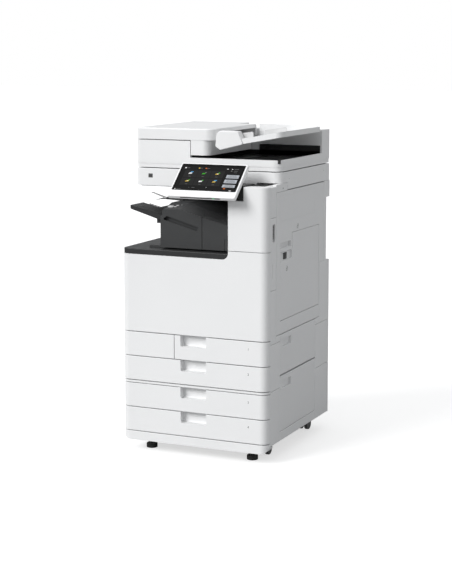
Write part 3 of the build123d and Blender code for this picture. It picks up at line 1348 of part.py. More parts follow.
def finisher_body():
    """The finisher's shell, with the slanting grip slot and the shoe that slides on the floor."""
    x0, x1, z0 = finisher_limits()
    shell = finisher_shape(0.0) - finisher_shape(SKIN)
    # the opening behind the staple door, and the exit slot towards the stack tray
    split = x1 - STAPLE_DOOR_WIDTH
    front_cut = block(split - 0.5, x1 + 1, FINISHER_FRONT - 1, staple_depth(), z0 - 1, z0 + 400)
    shell -= front_cut
    slot = shape_of(
        [
            (x0 + 13, z0 + 98), (x0 + 13, z0 + 104), (x0 + 26, z0 + 112),
            (split - 15, z0 + 77), (split - 18, z0 + 63),
        ]
    )
    shell -= front_slab(slot, FINISHER_FRONT - 1, FINISHER_FRONT + 14)
    backing = front_slab(
        shape_of(
            [
                (x0 + 1, z0 + 90), (x0 + 8, z0 + 112), (x0 + 26, z0 + 117),
                (split - 8, z0 + 82), (split - 8, z0 + 54),
            ]
        ),
        FINISHER_FRONT + 14, FINISHER_FRONT + 16,
    )
    shell += backing
    near = z0 + STACK_LEVEL
    shell -= block(x0 - 1, x0 + 12, STACK_FRONT + 6, STACK_FRONT + STACK_DEPTH, near + 2, near + 14)
    # upright slots that the stack tray's two tongues climb in
    for d in stack_tongues():
        shell -= block(x0 - 1, x0 + SKIN + 1, d - 3.4, d + 3.4, near - 75, near - 6)
    # the guide plate above the stack
    guide = shape_of(
        [
            (x0 - 94, near + 44), (x0 - 57, near + 54), (x0 + 24, near + 50),
            (x0 + 24, near + 45), (x0 - 57, near + 49),
        ]
    )
    shell += front_slab(guide, STACK_FRONT + 100, STACK_FRONT + 250)
    # shoes down to the delivery tray's floor
    floor = cover_top - LIP_DROP + LIP_HEIGHT
    for d in (FINISHER_FRONT + 27, FINISHER_FRONT + FINISHER_DEPTH - 40):
        shell += block(x0 - 58, x1 - 20, d, d + 14, floor + PLAY, z0 + 2)
    # seat for the staple button, and the partition that carries the staple door's hinges
    bx, bd, bz = button_place()
    shell -= Pos(bx, FRONT + bd, bz) * Rot(*hood_turn()) * Box(20.6, 14.6, 30)
    partition = finisher_shape(1.0) & block(
        split - 3, x1, staple_depth(), staple_depth() + SKIN, z0, z0 + 400
    )
    cartridge = block(split + 26, x1 - 18, 0, 200, z0 + 16, z0 + 52)
    shell += partition - cartridge
    for at in staple_hinges():
        shell += at * hinge_bracket(staple_depth() - FINISHER_FRONT - HINGE_INSET + 1)
    return shell


def hinge_ear(z, z0):
    """Height limits of one ear of the staple door's hinge."""
    return (z0, z0 + 4) if z < z0 else (z0 + 70, z0 + 74)


def staple_depth():
    """Depth of the partition behind the staple door."""
    return FINISHER_FRONT + 25.0


def staple_hinges():
    """The two hinges of the staple door, near its left edge."""
    _, x1, z0 = finisher_limits()
    x = x1 - STAPLE_DOOR_WIDTH + SWING + HINGE_INSET
    made = []
    for z in (z0 + 18, z0 + 64):
        plane = Plane((x, FRONT + FINISHER_FRONT + HINGE_INSET, z), x_dir=(0, -1, 0), z_dir=(0, 0, -1))
        made.append(plane.location)
    return made


def staple_door():
    """The door at the finisher's front right, over the staple cartridge."""
    _, x1, z0 = finisher_limits()
    left, back = x1 - STAPLE_DOOR_WIDTH + SWING, staple_depth() - 1
    door = finisher_shape(0.0) & block(left, x1, FINISHER_FRONT, back, z0, z0 + 400)
    door -= finisher_shape(SKIN) & block(
        left + SKIN, x1 - SKIN, FINISHER_FRONT, back + 1, z0, z0 + 400
    )
    door -= block(x1 - 26, x1 + 1, FINISHER_FRONT - 1, FINISHER_FRONT + 1.5, z0 - 1, z0 + 40)
    for at in staple_hinges():
        door = fit_hinge(door, at, back - FINISHER_FRONT)
    return door


def hood_turn():
    """Rotation that lays a piece on the finisher's hood."""
    return math.degrees(math.atan2(HOOD_RISE, HOOD_DEPTH)), 0, 0


def button_place():
    """X, depth and height of the staple button, on the hood near its left end."""
    x0, _, z0 = finisher_limits()
    d = 24.0
    lift = HOOD_RISE * d / HOOD_DEPTH
    return x0 + 30.0, FINISHER_FRONT + d, z0 + FINISHER_HEIGHT + lift - 1.0


def staple_button():
    """The push button that staples by hand."""
    x, d, z = button_place()
    cap = Pos(0, 0, -3.2) * Box(20, 14, 10)
    cap = fillet(cap.edges().filter_by(Axis.Z), 2.5)
    cap = fillet(cap.faces().sort_by(Axis.Z)[-1].edges(), 0.8)
    return Pos(x, FRONT + d, z) * Rot(*hood_turn()) * cap


def stack_tongues():
    """Depths of the two tongues that carry the stack tray."""
    return STACK_FRONT + 20, STACK_FRONT + STACK_DEPTH - 20


def finisher_tray():
    """The stack tray on the finisher's left, tilted up towards its free end."""
    x0, _, z0 = finisher_limits()
    rise = math.tan(math.radians(STACK_TILT))
    x1 = x0 - SWING
    xt = x1 - STACK_REACH
    near = z0 + STACK_LEVEL
    tip = near + STACK_REACH * rise
    outline = shape_of([(x1, near), (xt, tip), (xt, tip - STACK_TIP), (x1, near - STACK_THICK)])
    tray = front_slab(outline, STACK_FRONT, STACK_FRONT + STACK_DEPTH)
    # the free end is narrower behind
    tray -= block(
        xt - 1, xt + 64, STACK_FRONT + 100, STACK_FRONT + STACK_DEPTH + 1, near - 40, near + 80
    )
    core = shape_of(
        [
            (x1 + 1, near - 4), (xt + 3, tip - 4 - 3 * rise),
            (xt + 3, tip - STACK_TIP - 2), (x1 + 1, near - STACK_THICK - 2),
        ]
    )
    tray -= front_slab(core, STACK_FRONT + 3, STACK_FRONT + 97)
    tray -= front_slab(core, STACK_FRONT + 103, STACK_FRONT + STACK_DEPTH - 3) - block(
        xt - 5, xt + 67, 0, 600, near - 60, near + 90
    )
    # brackets with the tongues that climb in the finisher's slots
    for d in stack_tongues():
        tray += block(x1 - 36, x1, d - 10, d + 10, near - 28, near - 2)
        tray += block(x1 - 1, x0 + SKIN + 3, d - 3, d + 3, near - 26, near - 8)
        tray += block(x0 + SKIN + PLAY, x0 + SKIN + 3.4, d - 9, d + 9, near - 26, near - 8)
    return tray


def levelling_feet():
    """The two screwed feet at the front: rubber pad, nut and stud."""
    made = []
    for x in (-FOOT_X, FOOT_X):
        pad = rod_z(x, FOOT_D, 0, 17, FOOT_RADIUS)
        pad = fillet(pad.faces().sort_by(Axis.Z)[-1].edges(), 4.0)
        pad = fillet(pad.faces().sort_by(Axis.Z)[0].edges(), 2.0)
        collar = rod_z(x, FOOT_D, 16, 24, 12.0)
        made.append(pad + collar + rod_z(x, FOOT_D, 20, BASE_UNDERSIDE - 0.02, 5.0))
    return Compound(made)


def caster_wheel(x, d):
    """A pair of wheels on one axle."""
    wheels = rod_x(d, WHEEL_RADIUS, x - 20, x + 20, AXLE_RADIUS)
    for side in (-1, 1):
        a, b = sorted((x + side * 6, x + side * (6 + WHEEL_WIDTH)))
        wheel = rod_x(d, WHEEL_RADIUS, a, b, WHEEL_RADIUS)
        wheels += fillet(wheel.edges().filter_by(GeomType.CIRCLE), 3.0)
    return wheels


def caster_body(x, d, trail, stem):
    """The body between a caster's wheels, below its mounting point at (x, d)."""
    hub = block(x - 5.4, x + 5.4, d - 14, d + trail + 14, WHEEL_RADIUS - 6, BASE_UNDERSIDE - 3.4)
    hub = fillet(hub.edges().filter_by(Axis.X), 5.0)
    plate = rod_z(x, d, BASE_UNDERSIDE - 5, BASE_UNDERSIDE - 0.02, 18.0)
    made = hub + plate - rod_x(d + trail, WHEEL_RADIUS, x - 10, x + 10, AXLE_RADIUS + RUN)
    if stem:
        made += rod_z(x, d, BASE_UNDERSIDE - 1, BASE_UNDERSIDE + STEEL + 2, STEM_RADIUS)
        made += rod_z(x, d, BASE_UNDERSIDE + STEEL + 0.3, BASE_UNDERSIDE + STEEL + 3, 9.0)
    return made


def rear_caster_d():
    """Depth of the rear casters."""
    return BODY_DEPTH - CASTER_REAR_IN


# --- print engine ---------------------------------------------------------------------------------------------------------------------------
def laser_scanner():
    """The laser unit, a flat sealed box with four slit windows on top."""
    z0 = cover_z + 4.0 + STEEL + 0.02
    x0 = -frame_half + 48
    box = block(x0, x0 + 4 * DRUM_PITCH + 10, ENGINE_FRONT, ENGINE_FRONT + ENGINE_DEPTH, z0, z0 + 52)
    box = fillet(box.edges().filter_by(Axis.Z), 6.0)
    for i in range(4):
        x = drum_x(i) + 18
        box -= block(x - 3, x + 3, ENGINE_FRONT + 40, ENGINE_FRONT + ENGINE_DEPTH - 40, z0 + 49, z0 + 60)
    return box


def drum_x(i):
    """X of the axis of drum i, counted from the left."""
    return -frame_half + 48 + DRUM_PITCH * (i + 0.5)


def drum_units():
    """Four drum and developer units in a row, each with its drum showing at the top."""
    z0 = cover_z + 4.0 + STEEL + 52 + 0.06
    height = 68.0
    made = []
    for i in range(4):
        x = drum_x(i)
        case = block(x - 38, x + 38, ENGINE_FRONT + 4, ENGINE_FRONT + ENGINE_DEPTH - 4, z0, z0 + height - 8)
        case -= block(
            x - 20, x + 20, ENGINE_FRONT + 12, ENGINE_FRONT + ENGINE_DEPTH - 12,
            z0 + height - 36, z0 + height,
        )
        drum = rod_y(
            x, z0 + height - 4 - DRUM_RADIUS, ENGINE_FRONT + 11, ENGINE_FRONT + ENGINE_DEPTH - 11, DRUM_RADIUS
        )
        made.append(case + drum)
    return Compound(made)


def transfer_belt_unit():
    """The transfer belt over its two end rollers, with the frame between them."""
    z0 = cover_z + 4.0 + STEEL + 52 + 0.06 + 68.0 - 4.0 + 0.3
    radius = 14.0
    xa, xb = drum_x(0) - 46, drum_x(3) + 60
    d0, d1 = ENGINE_FRONT + 10, ENGINE_FRONT + ENGINE_DEPTH - 10
    zc = z0 + radius
    belt = block(xa, xb, d0, d1, z0, z0 + 2 * radius) + rod_y(xa, zc, d0, d1, radius)
    belt += rod_y(xb, zc, d0, d1, radius)
    inner = block(xa, xb, d0 - 1, d1 + 1, z0 + 1.2, z0 + 2 * radius - 1.2)
    inner += rod_y(xa, zc, d0 - 1, d1 + 1, radius - 1.2) + rod_y(xb, zc, d0 - 1, d1 + 1, radius - 1.2)
    loop = belt - inner
    made = [loop]
    for x in (xa, xb):
        made.append(
            rod_y(x, zc, d0, d1, radius - 1.5)
            + rod_y(x, zc, d0 - 8, d1 + 8, 4.0)
        )
    cheeks = []
    for d in (d0 - 6, d1 + 2):
        cheek = block(xa - 10, xb + 10, d, d + 4, zc - 9, zc + 9)
        for x in (xa, xb):
            cheek -= rod_y(x, zc, d - 1, d + 5, 4.0 + RUN)
        cheeks.append(cheek)
    spine = block(xa + 30, xb - 30, d0 - 3, d1 + 3, zc - 6, zc + 6)
    made.append(cheeks[0] + cheeks[1] + spine)
    return Compound(made)


def toner_cartridges():
    """Four toner bottles on the engine shelf, with keyed front caps."""
    z = cover_top - 96.0 + STEEL + TONER_RADIUS + 0.1
    made = []
    for i in range(4):
        x = drum_x(i)
        bottle = rod_y(x, z, ENGINE_FRONT + 6, ENGINE_FRONT + ENGINE_DEPTH - 20, TONER_RADIUS)
        cap = rod_y(x, z, ENGINE_FRONT - 10, ENGINE_FRONT + 8, TONER_RADIUS - 4)
        key = block(x - 3, x + 3, ENGINE_FRONT - 16, ENGINE_FRONT - 8, z - 12, z + 12)
        made.append(bottle + cap + key)
    return Compound(made)


def fuser_place():
    """X of the two fuser rollers and the height of their axes."""
    x1 = frame_half - STEEL - 30.0
    return x1 - 2 * FUSER_RADIUS - 0.3, x1, cover_top - LIP_DROP - 16.0 + STEEL + 46.0


def fuser_unit():
    """The fuser's housing: two end plates, side shields and a base, open for the paper."""
    xa, xb, z = fuser_place()
    d0, d1 = ENGINE_FRONT, ENGINE_FRONT + ENGINE_DEPTH
    z0 = cover_top - LIP_DROP - 16.0 + STEEL + 0.02
    z1 = z + FUSER_RADIUS + 12
    left, right = xa - FUSER_RADIUS - 5, xb + FUSER_RADIUS + 5
    unit = block(left, left + 2.5, d0, d1, z0, z1) + block(right - 2.5, right, d0, d1, z0, z1)
    for d in (d0, d1 - 5):
        unit += block(left, right, d, d + 5, z0, z1)
        for x in (xa, xb):
            unit -= rod_y(x, z, d - 1, d + 6, 6.0 + RUN)
    for a, b in ((left, xa + 4), (xb - 4, right)):
        unit += block(a, b, d0, d1, z0, z0 + 2.5)
    return unit


def fuser_roller(heated):
    """One roller of the fuser, on its shaft."""
    xa, xb, z = fuser_place()
    x = xa if heated else xb
    d0, d1 = ENGINE_FRONT, ENGINE_FRONT + ENGINE_DEPTH
    return rod_y(x, z, d0 + 12, d1 - 12, FUSER_RADIUS) + rod_y(x, z, d0 - 5, d1 + 5, 6.0)


def power_supply():
    """The power unit on the frame's back plate, with the mains inlet facing backwards."""
    x, z = inlet_place()
    d0, d1 = frame_back + 0.02, BODY_DEPTH + REAR_BULGE - SKIN - 3
    box = block(x - 45, x + 110, d0 + 0.0, d1, z - 32, z + 60)
    box -= block(x - 40, x + 105, d0 + 4, d1 - 4, z + 20, z + 61)
    box += block(x - 15, x + 15, d1 - 1, d1 + 5, z - 12, z + 12)
    box -= block(x - 12, x + 12, d1 - 12, d1 + 6, z - 8, z + 8)
    for dx in (-7, 0, 7):
        box += block(x + dx - 1, x + dx + 1, d1 - 13, d1, z - 2, z + 3)
    return box


# --- output ------------------------------------------------------------------------------------------------------------------------------------
def machine():
    """Every node of the machine, by name."""
    parts = {
        "lower_frame": lower_frame(),
        "main_frame": main_frame(),
        "base_skirt": base_skirt(),
        "cassette_1_filler": cassette_1_filler(),
        "left_covers": left_covers(),
        "rear_covers": rear_covers(),
        "right_covers": right_covers(),
        "tower_cover": tower_cover(),
        "delivery_tray": delivery_tray(),
        "front_cover": front_cover(),
        "power_switch": power_switch(),
        "right_door": right_door(),
        "bypass_tray": bypass_tray(),
        "middle_door": middle_door(),
        "lower_door": lower_door(),
        "reader_case": reader_case(),
        "platen_glass": platen_glass(),
        "scan_carriage": scan_carriage(),
        "feeder_hinges": feeder_hinges(),
        "feeder_base": feeder_base(),
        "feeder_top_cover": feeder_top_cover(),
        "feed_roller": feed_roller(),
        "document_tray": document_tray(),
        "document_guide_front": document_guide(True),
        "document_guide_rear": document_guide(False),
        "panel_arm": panel_arm(),
        "panel_housing": panel_housing(),
        "panel_glass": panel_glass(),
        "finisher_body": finisher_body(),
        "staple_door": staple_door(),
        "staple_button": staple_button(),
        "finisher_tray": finisher_tray(),
        "levelling_feet": levelling_feet(),
        "laser_scanner": laser_scanner(),
        "drum_units": drum_units(),
        "transfer_belt_unit": transfer_belt_unit(),
        "toner_cartridges": toner_cartridges(),
        "fuser_unit": fuser_unit(),
        "fuser_heat_roller": fuser_roller(True),
        "fuser_pressure_roller": fuser_roller(False),
        "power_supply": power_supply(),
    }
    for k in (1, 2, 3, 4):
        parts[f"cassette_{k}_front"] = drawer_front(k)
        parts[f"cassette_{k}_tray"] = drawer_tray(k)
        parts[f"cassette_{k}_lift_plate"] = lift_plate(k)
    rear_d = rear_caster_d()
    parts["rear_caster_brackets"] = Compound(
        [caster_body(x, rear_d, 0.0, False) for x in (-CASTER_X, CASTER_X)]
    )
    for side, x in (("left", -CASTER_X), ("right", CASTER_X)):
        parts[f"front_caster_fork_{side}"] = caster_body(x, CASTER_FRONT_D, CASTER_TRAIL, True)
        parts[f"front_wheel_{side}"] = caster_wheel(x, CASTER_FRONT_D + CASTER_TRAIL)
        parts[f"rear_wheel_{side}"] = caster_wheel(x, rear_d)
    return parts


if __name__ == "__main__":
    os.makedirs("parts", exist_ok=True)
    for name, shape in machine().items():
        export_step(shape, f"parts/{name}.step")
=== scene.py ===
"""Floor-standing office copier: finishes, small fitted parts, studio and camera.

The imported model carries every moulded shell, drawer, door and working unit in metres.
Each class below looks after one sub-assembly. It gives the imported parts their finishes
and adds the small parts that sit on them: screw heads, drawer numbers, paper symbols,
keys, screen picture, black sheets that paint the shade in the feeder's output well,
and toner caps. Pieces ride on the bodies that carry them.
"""

import json
import logging
import math
from dataclasses import dataclass
from enum import Enum
from typing import Any, ClassVar, Iterable, Sequence

import bmesh
import bpy
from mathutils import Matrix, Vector

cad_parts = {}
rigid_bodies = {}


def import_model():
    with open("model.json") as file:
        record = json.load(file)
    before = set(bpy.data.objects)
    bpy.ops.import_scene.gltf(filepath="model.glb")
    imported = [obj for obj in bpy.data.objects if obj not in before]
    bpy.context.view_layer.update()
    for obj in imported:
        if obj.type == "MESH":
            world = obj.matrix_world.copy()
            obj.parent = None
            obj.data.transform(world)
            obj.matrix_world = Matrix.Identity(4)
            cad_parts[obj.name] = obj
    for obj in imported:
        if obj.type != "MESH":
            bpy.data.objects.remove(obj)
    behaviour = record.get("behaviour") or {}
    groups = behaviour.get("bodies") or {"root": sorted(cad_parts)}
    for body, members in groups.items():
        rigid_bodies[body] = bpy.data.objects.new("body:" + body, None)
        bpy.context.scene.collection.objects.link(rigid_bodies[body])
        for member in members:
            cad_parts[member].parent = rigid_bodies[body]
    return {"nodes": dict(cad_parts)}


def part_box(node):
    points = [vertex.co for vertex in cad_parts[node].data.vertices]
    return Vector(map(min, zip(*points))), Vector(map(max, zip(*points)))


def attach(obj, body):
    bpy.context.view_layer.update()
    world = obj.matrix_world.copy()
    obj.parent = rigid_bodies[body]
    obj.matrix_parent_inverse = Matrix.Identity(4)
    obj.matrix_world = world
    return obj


LOG = logging.getLogger("copier")
FRAME_NAME = "machine_frame"
COAT_ROUGHNESS = 0.12
GLASS_IOR = 1.5
SCREEN_IOR = 1.2
SHARP_ANGLE = 35.0
SCREW_SIDES = 24
LATHE_SIDES = 32
DIGIT_THICK = 0.00025
Outline = list[tuple[float, float]]
Colour = tuple[float, float, float]


# ---------------------------------------------------------------- shader graphs


class Graph:
    """A shader tree that is being written one node at a time."""

    def __init__(self, tree: bpy.types.NodeTree) -> None:
        """Keeps the tree.

        Args:
            tree: The material, world or group tree to write.
        """
        self.tree = tree

    def add(self, kind: str, values: dict[Any, Any] | None = None, **settings: Any) -> bpy.types.Node:
        """Adds a node, sets it up and links its inputs.

        Args:
            kind: Blender's name for the node type.
            values: Input name or number, with a socket to link or a plain value.
            **settings: The node's own options.

        Returns:
            The new node.
        """
        node = self.tree.nodes.new(kind)
        for key, value in settings.items():
            setattr(node, key, value)
        self.feed(node, values or {})
        return node

    def feed(self, node: bpy.types.Node, values: dict[Any, Any]) -> None:
        """Links or sets a node's inputs.

        Args:
            node: The node.
            values: Input name or number, with a socket to link or a plain value.
        """
        for key, value in values.items():
            if isinstance(value, bpy.types.NodeSocket):
                self.tree.links.new(value, node.inputs[key])
            else:
                node.inputs[key].default_value = value

    def noise(self, scale: Any, detail: float = 2.0, place: Any = None) -> bpy.types.NodeSocket:
        """Adds a cloud noise.

        Args:
            scale: Clouds per metre.
            detail: How finely it breaks up.
            place: The coordinates, or None for the spot's place on the piece.

        Returns:
            The noise's socket.
        """
        values = {"Vector": place or self.place(), "Scale": scale, "Detail": detail}
        return self.add("ShaderNodeTexNoise", values).outputs["Fac"]

    def math(
        self, first: Any, second: Any, operation: str = "ADD", clamp: bool = False
    ) -> bpy.types.NodeSocket:
        """Combines two numbers.

        Args:
            first: A socket or a number.
            second: A socket or a number.
            operation: The Math node's operation.
            clamp: True to keep the result from 0 to 1.

        Returns:
            The result's socket.
        """
        node = self.add("ShaderNodeMath", {0: first, 1: second}, operation=operation, use_clamp=clamp)
        return node.outputs[0]

    def spread(
        self, value: Any, low: float, high: float, to_low: Any = 0.0, to_high: Any = 1.0
    ) -> bpy.types.NodeSocket:
        """Stretches a range of numbers over another one.

        Args:
            value: The socket to stretch.
            low: Start of its useful range.
            high: End of its useful range.
            to_low: What low becomes.
            to_high: What high becomes.

        Returns:
            The stretched number's socket.
        """
        node = self.add(
            "ShaderNodeMapRange",
            {"Value": value, "From Min": low, "From Max": high, "To Min": to_low, "To Max": to_high},
        )
        return node.outputs["Result"]

    def blend(self, share: Any, first: Any, second: Any) -> bpy.types.NodeSocket:
        """Mixes two colours.

        Args:
            share: How much of the second colour, from 0 to 1.
            first: A colour socket or value.
            second: A colour socket or value.

        Returns:
            The mixed colour's socket.
        """
        node = self.add("ShaderNodeMix", {0: share, 6: first, 7: second}, data_type="RGBA")
        return node.outputs[2]

    def place(self) -> bpy.types.NodeSocket:
        """Returns the spot's place on the piece, in metres."""
        return self.add("ShaderNodeTexCoord").outputs["Object"]


class Effect(Enum):
    """The effects that several finishes share, each one a node group."""

    GRAIN = "moulded_grain"
    TINT = "uneven_tint"
    DUST = "settled_dust"
    SCUFF = "fine_scuffs"
    EDGE = "softened_edge"
    BRUSH = "rolled_lines"


class EffectShelf:
    """Builds each shared effect once and hands it to the materials."""

    def __init__(self) -> None:
        """Builds every group."""
        makers = {
            Effect.GRAIN: self._grain,
            Effect.TINT: self._tint,
            Effect.DUST: self._dust,
            Effect.SCUFF: self._scuff,
            Effect.EDGE: self._edge,
            Effect.BRUSH: self._brush,
        }
        self.groups = {effect: make(effect.value) for effect, make in makers.items()}

    def put(self, graph: Graph, effect: Effect, values: dict[str, Any]) -> bpy.types.Node:
        """Places an effect in a material.

        Args:
            graph: The material's graph.
            effect: Which effect.
            values: The group's inputs.

        Returns:
            The group node.
        """
        return graph.add("ShaderNodeGroup", values, node_tree=self.groups[effect])

    @staticmethod
    def _group(
        name: str, inputs: dict[str, tuple[str, Any]], outputs: dict[str, str]
    ) -> tuple[Graph, bpy.types.Node, bpy.types.Node]:
        """Makes an empty group with named sockets.

        Args:
            name: The group's name.
            inputs: Socket name, with its type and first value.
            outputs: Socket name, with its type.

        Returns:
            The group's graph, its input node and its output node.
        """
        tree = bpy.data.node_groups.new(name, "ShaderNodeTree")
        for key, (kind, value) in inputs.items():
            socket = tree.interface.new_socket(key, in_out="INPUT", socket_type=kind)
            socket.default_value = value
        for key, kind in outputs.items():
            tree.interface.new_socket(key, in_out="OUTPUT", socket_type=kind)
        graph = Graph(tree)
        return graph, graph.add("NodeGroupInput"), graph.add("NodeGroupOutput")

    def _grain(self, name: str) -> bpy.types.NodeTree:
        """Fine pebbled surface of moulded plastic.

        Args:
            name: The group's name.

        Returns:
            The group.
        """
        graph, given, made = self._group(
            name,
            {"Size": ("NodeSocketFloat", 900.0), "Depth": ("NodeSocketFloat", 0.00002),
             "Smooth": ("NodeSocketFloat", 0.4), "Rough": ("NodeSocketFloat", 0.55)},
            {"Roughness": "NodeSocketFloat", "Normal": "NodeSocketVector"},
        )
        pebble = graph.add(
            "ShaderNodeTexVoronoi",
            {"Vector": graph.place(), "Scale": given.outputs["Size"]},
            feature="SMOOTH_F1",
        ).outputs["Distance"]
        cloud = graph.noise(34.0, 4.0)
        bump = graph.add(
            "ShaderNodeBump", {"Height": pebble, "Distance": given.outputs["Depth"], "Strength": 1.0}
        ).outputs["Normal"]
        mixed = graph.math(graph.math(pebble, 0.35, "MULTIPLY"), graph.math(cloud, 0.65, "MULTIPLY"))
        rough = graph.spread(mixed, 0.25, 0.65, given.outputs["Smooth"], given.outputs["Rough"])
        graph.feed(made, {"Roughness": rough, "Normal": bump})
        return graph.tree

    def _tint(self, name: str) -> bpy.types.NodeTree:
        """Slow drift of colour across a moulding, with faint flow marks.

        Args:
            name: The group's name.

        Returns:
            The group.
        """
        graph, given, made = self._group(
            name,
            {"Base": ("NodeSocketColor", (0.8, 0.8, 0.8, 1)), "Drift": ("NodeSocketColor", (0.7, 0.7, 0.7, 1)),
             "Size": ("NodeSocketFloat", 2.5)},
            {"Color": "NodeSocketColor"},
        )
        slow = graph.noise(given.outputs["Size"], 2.0)
        quick = graph.noise(420.0, 2.0)
        share = graph.math(
            graph.spread(slow, 0.35, 0.65, 0.0, 0.7), graph.spread(quick, 0.3, 0.7, 0.0, 0.3), clamp=True
        )
        graph.tree.links.new(
            graph.blend(share, given.outputs["Base"], given.outputs["Drift"]), made.inputs["Color"]
        )
        return graph.tree

    def _dust(self, name: str) -> bpy.types.NodeTree:
        """Thin film of dust on what faces up, thicker in patches.

        Args:
            name: The group's name.

        Returns:
            The group.
        """
        graph, given, made = self._group(
            name, {"Amount": ("NodeSocketFloat", 0.2)}, {"Mask": "NodeSocketFloat"}
        )
        coords = graph.add("ShaderNodeTexCoord")
        upward = graph.add("ShaderNodeSeparateXYZ", {0: coords.outputs["Normal"]}).outputs["Z"]
        patches = graph.noise(14.0, 6.0, coords.outputs["Object"])
        facing = graph.spread(upward, 0.45, 0.98)
        film = graph.math(facing, graph.spread(patches, 0.35, 0.7, 0.25, 1.0), "MULTIPLY")
        mask = graph.math(film, given.outputs["Amount"], "MULTIPLY", clamp=True)
        graph.feed(made, {"Mask": mask})
        return graph.tree

    def _scuff(self, name: str) -> bpy.types.NodeTree:
        """Sparse hair scratches from paper, hands and cloths.

        Args:
            name: The group's name.

        Returns:
            The group.
        """
        graph, given, made = self._group(
            name, {"Amount": ("NodeSocketFloat", 0.2)}, {"Mask": "NodeSocketFloat"}
        )
        slant = graph.add(
            "ShaderNodeMapping",
            {"Vector": graph.place(), "Rotation": (0.5, 0.35, 0.8), "Scale": (30.0, 700.0, 60.0)},
        ).outputs["Vector"]
        lines = graph.noise(1.0, 3.0, slant)
        areas = graph.noise(9.0)
        mask = graph.math(graph.spread(lines, 0.66, 0.74), graph.spread(areas, 0.5, 0.62), "MULTIPLY")
        graph.tree.links.new(
            graph.math(mask, given.outputs["Amount"], "MULTIPLY", clamp=True), made.inputs["Mask"]
        )
        return graph.tree

    def _edge(self, name: str) -> bpy.types.NodeTree:
        """Outer edges, rubbed unevenly.

        Args:
            name: The group's name.

        Returns:
            The group.
        """
        graph, given, made = self._group(
            name,
            {"Width": ("NodeSocketFloat", 0.0012), "Amount": ("NodeSocketFloat", 0.5)},
            {"Mask": "NodeSocketFloat"},
        )
        rounded = graph.add("ShaderNodeBevel", {"Radius": given.outputs["Width"]}, samples=4).outputs["Normal"]
        plain = graph.add("ShaderNodeNewGeometry").outputs["Normal"]
        facing = graph.add(
            "ShaderNodeVectorMath", {0: rounded, 1: plain}, operation="DOT_PRODUCT"
        ).outputs["Value"]
        turn = graph.spread(facing, 0.995, 0.86)
        patches = graph.noise(55.0, 5.0)
        rubbed = graph.math(turn, graph.spread(patches, 0.3, 0.65, 0.2, 1.0), "MULTIPLY")
        graph.tree.links.new(
            graph.math(rubbed, given.outputs["Amount"], "MULTIPLY", clamp=True), made.inputs["Mask"]
        )
        return graph.tree

    def _brush(self, name: str) -> bpy.types.NodeTree:
        """Fine parallel lines of rolled or brushed sheet.

        Args:
            name: The group's name.

        Returns:
            The group.
        """
        graph, given, made = self._group(
            name,
            {"Stretch": ("NodeSocketVector", (8.0, 900.0, 900.0)), "Depth": ("NodeSocketFloat", 0.00001),
             "Smooth": ("NodeSocketFloat", 0.25), "Rough": ("NodeSocketFloat", 0.45)},
            {"Roughness": "NodeSocketFloat", "Normal": "NodeSocketVector"},
        )
        drawn = graph.add(
            "ShaderNodeMapping", {"Vector": graph.place(), "Scale": given.outputs["Stretch"]}
        ).outputs["Vector"]
        lines = graph.noise(1.0, 4.0, drawn)
        bump = graph.add(
            "ShaderNodeBump", {"Height": lines, "Distance": given.outputs["Depth"]}
        ).outputs["Normal"]
        rough = graph.spread(lines, 0.3, 0.7, given.outputs["Smooth"], given.outputs["Rough"])
        graph.feed(made, {"Roughness": rough, "Normal": bump})
        return graph.tree


# --------------------------------------------------------------------- finishes


def grey(level: float, warm: float = 0.0) -> Colour:
    """Returns a near-neutral colour; warm above 0 leans to yellow, below 0 to blue."""
    return (level * (1 + warm), level, level * (1 - warm))


@dataclass(frozen=True)
class Finish:
    """Something a surface is made of.

    Attributes:
        name: The material's name.
        colour: Its main colour.
    """

    name: str
    colour: Colour

    def shader(self) -> tuple[bpy.types.Material, Graph, bpy.types.Node]:
        """Starts a material with one Principled shader.

        Returns:
            The material, its graph and its shader node.
        """
        material = bpy.data.materials.new(self.name)
        material.use_nodes = True
        material.node_tree.nodes.clear()
        graph = Graph(material.node_tree)
        surface = graph.add("ShaderNodeBsdfPrincipled")
        graph.add("ShaderNodeOutputMaterial", {"Surface": surface.outputs["BSDF"]})
        return material, graph, surface

    def shade(self, share: float) -> tuple[float, float, float, float]:
        """Returns the colour times share, as a shader value."""
        return (self.colour[0] * share, self.colour[1] * share, self.colour[2] * share, 1.0)

    def material(self, shelf: EffectShelf) -> bpy.types.Material:
        """Makes the material.

        Args:
            shelf: The shared effects.

        Returns:
            The material.
        """
        raise NotImplementedError


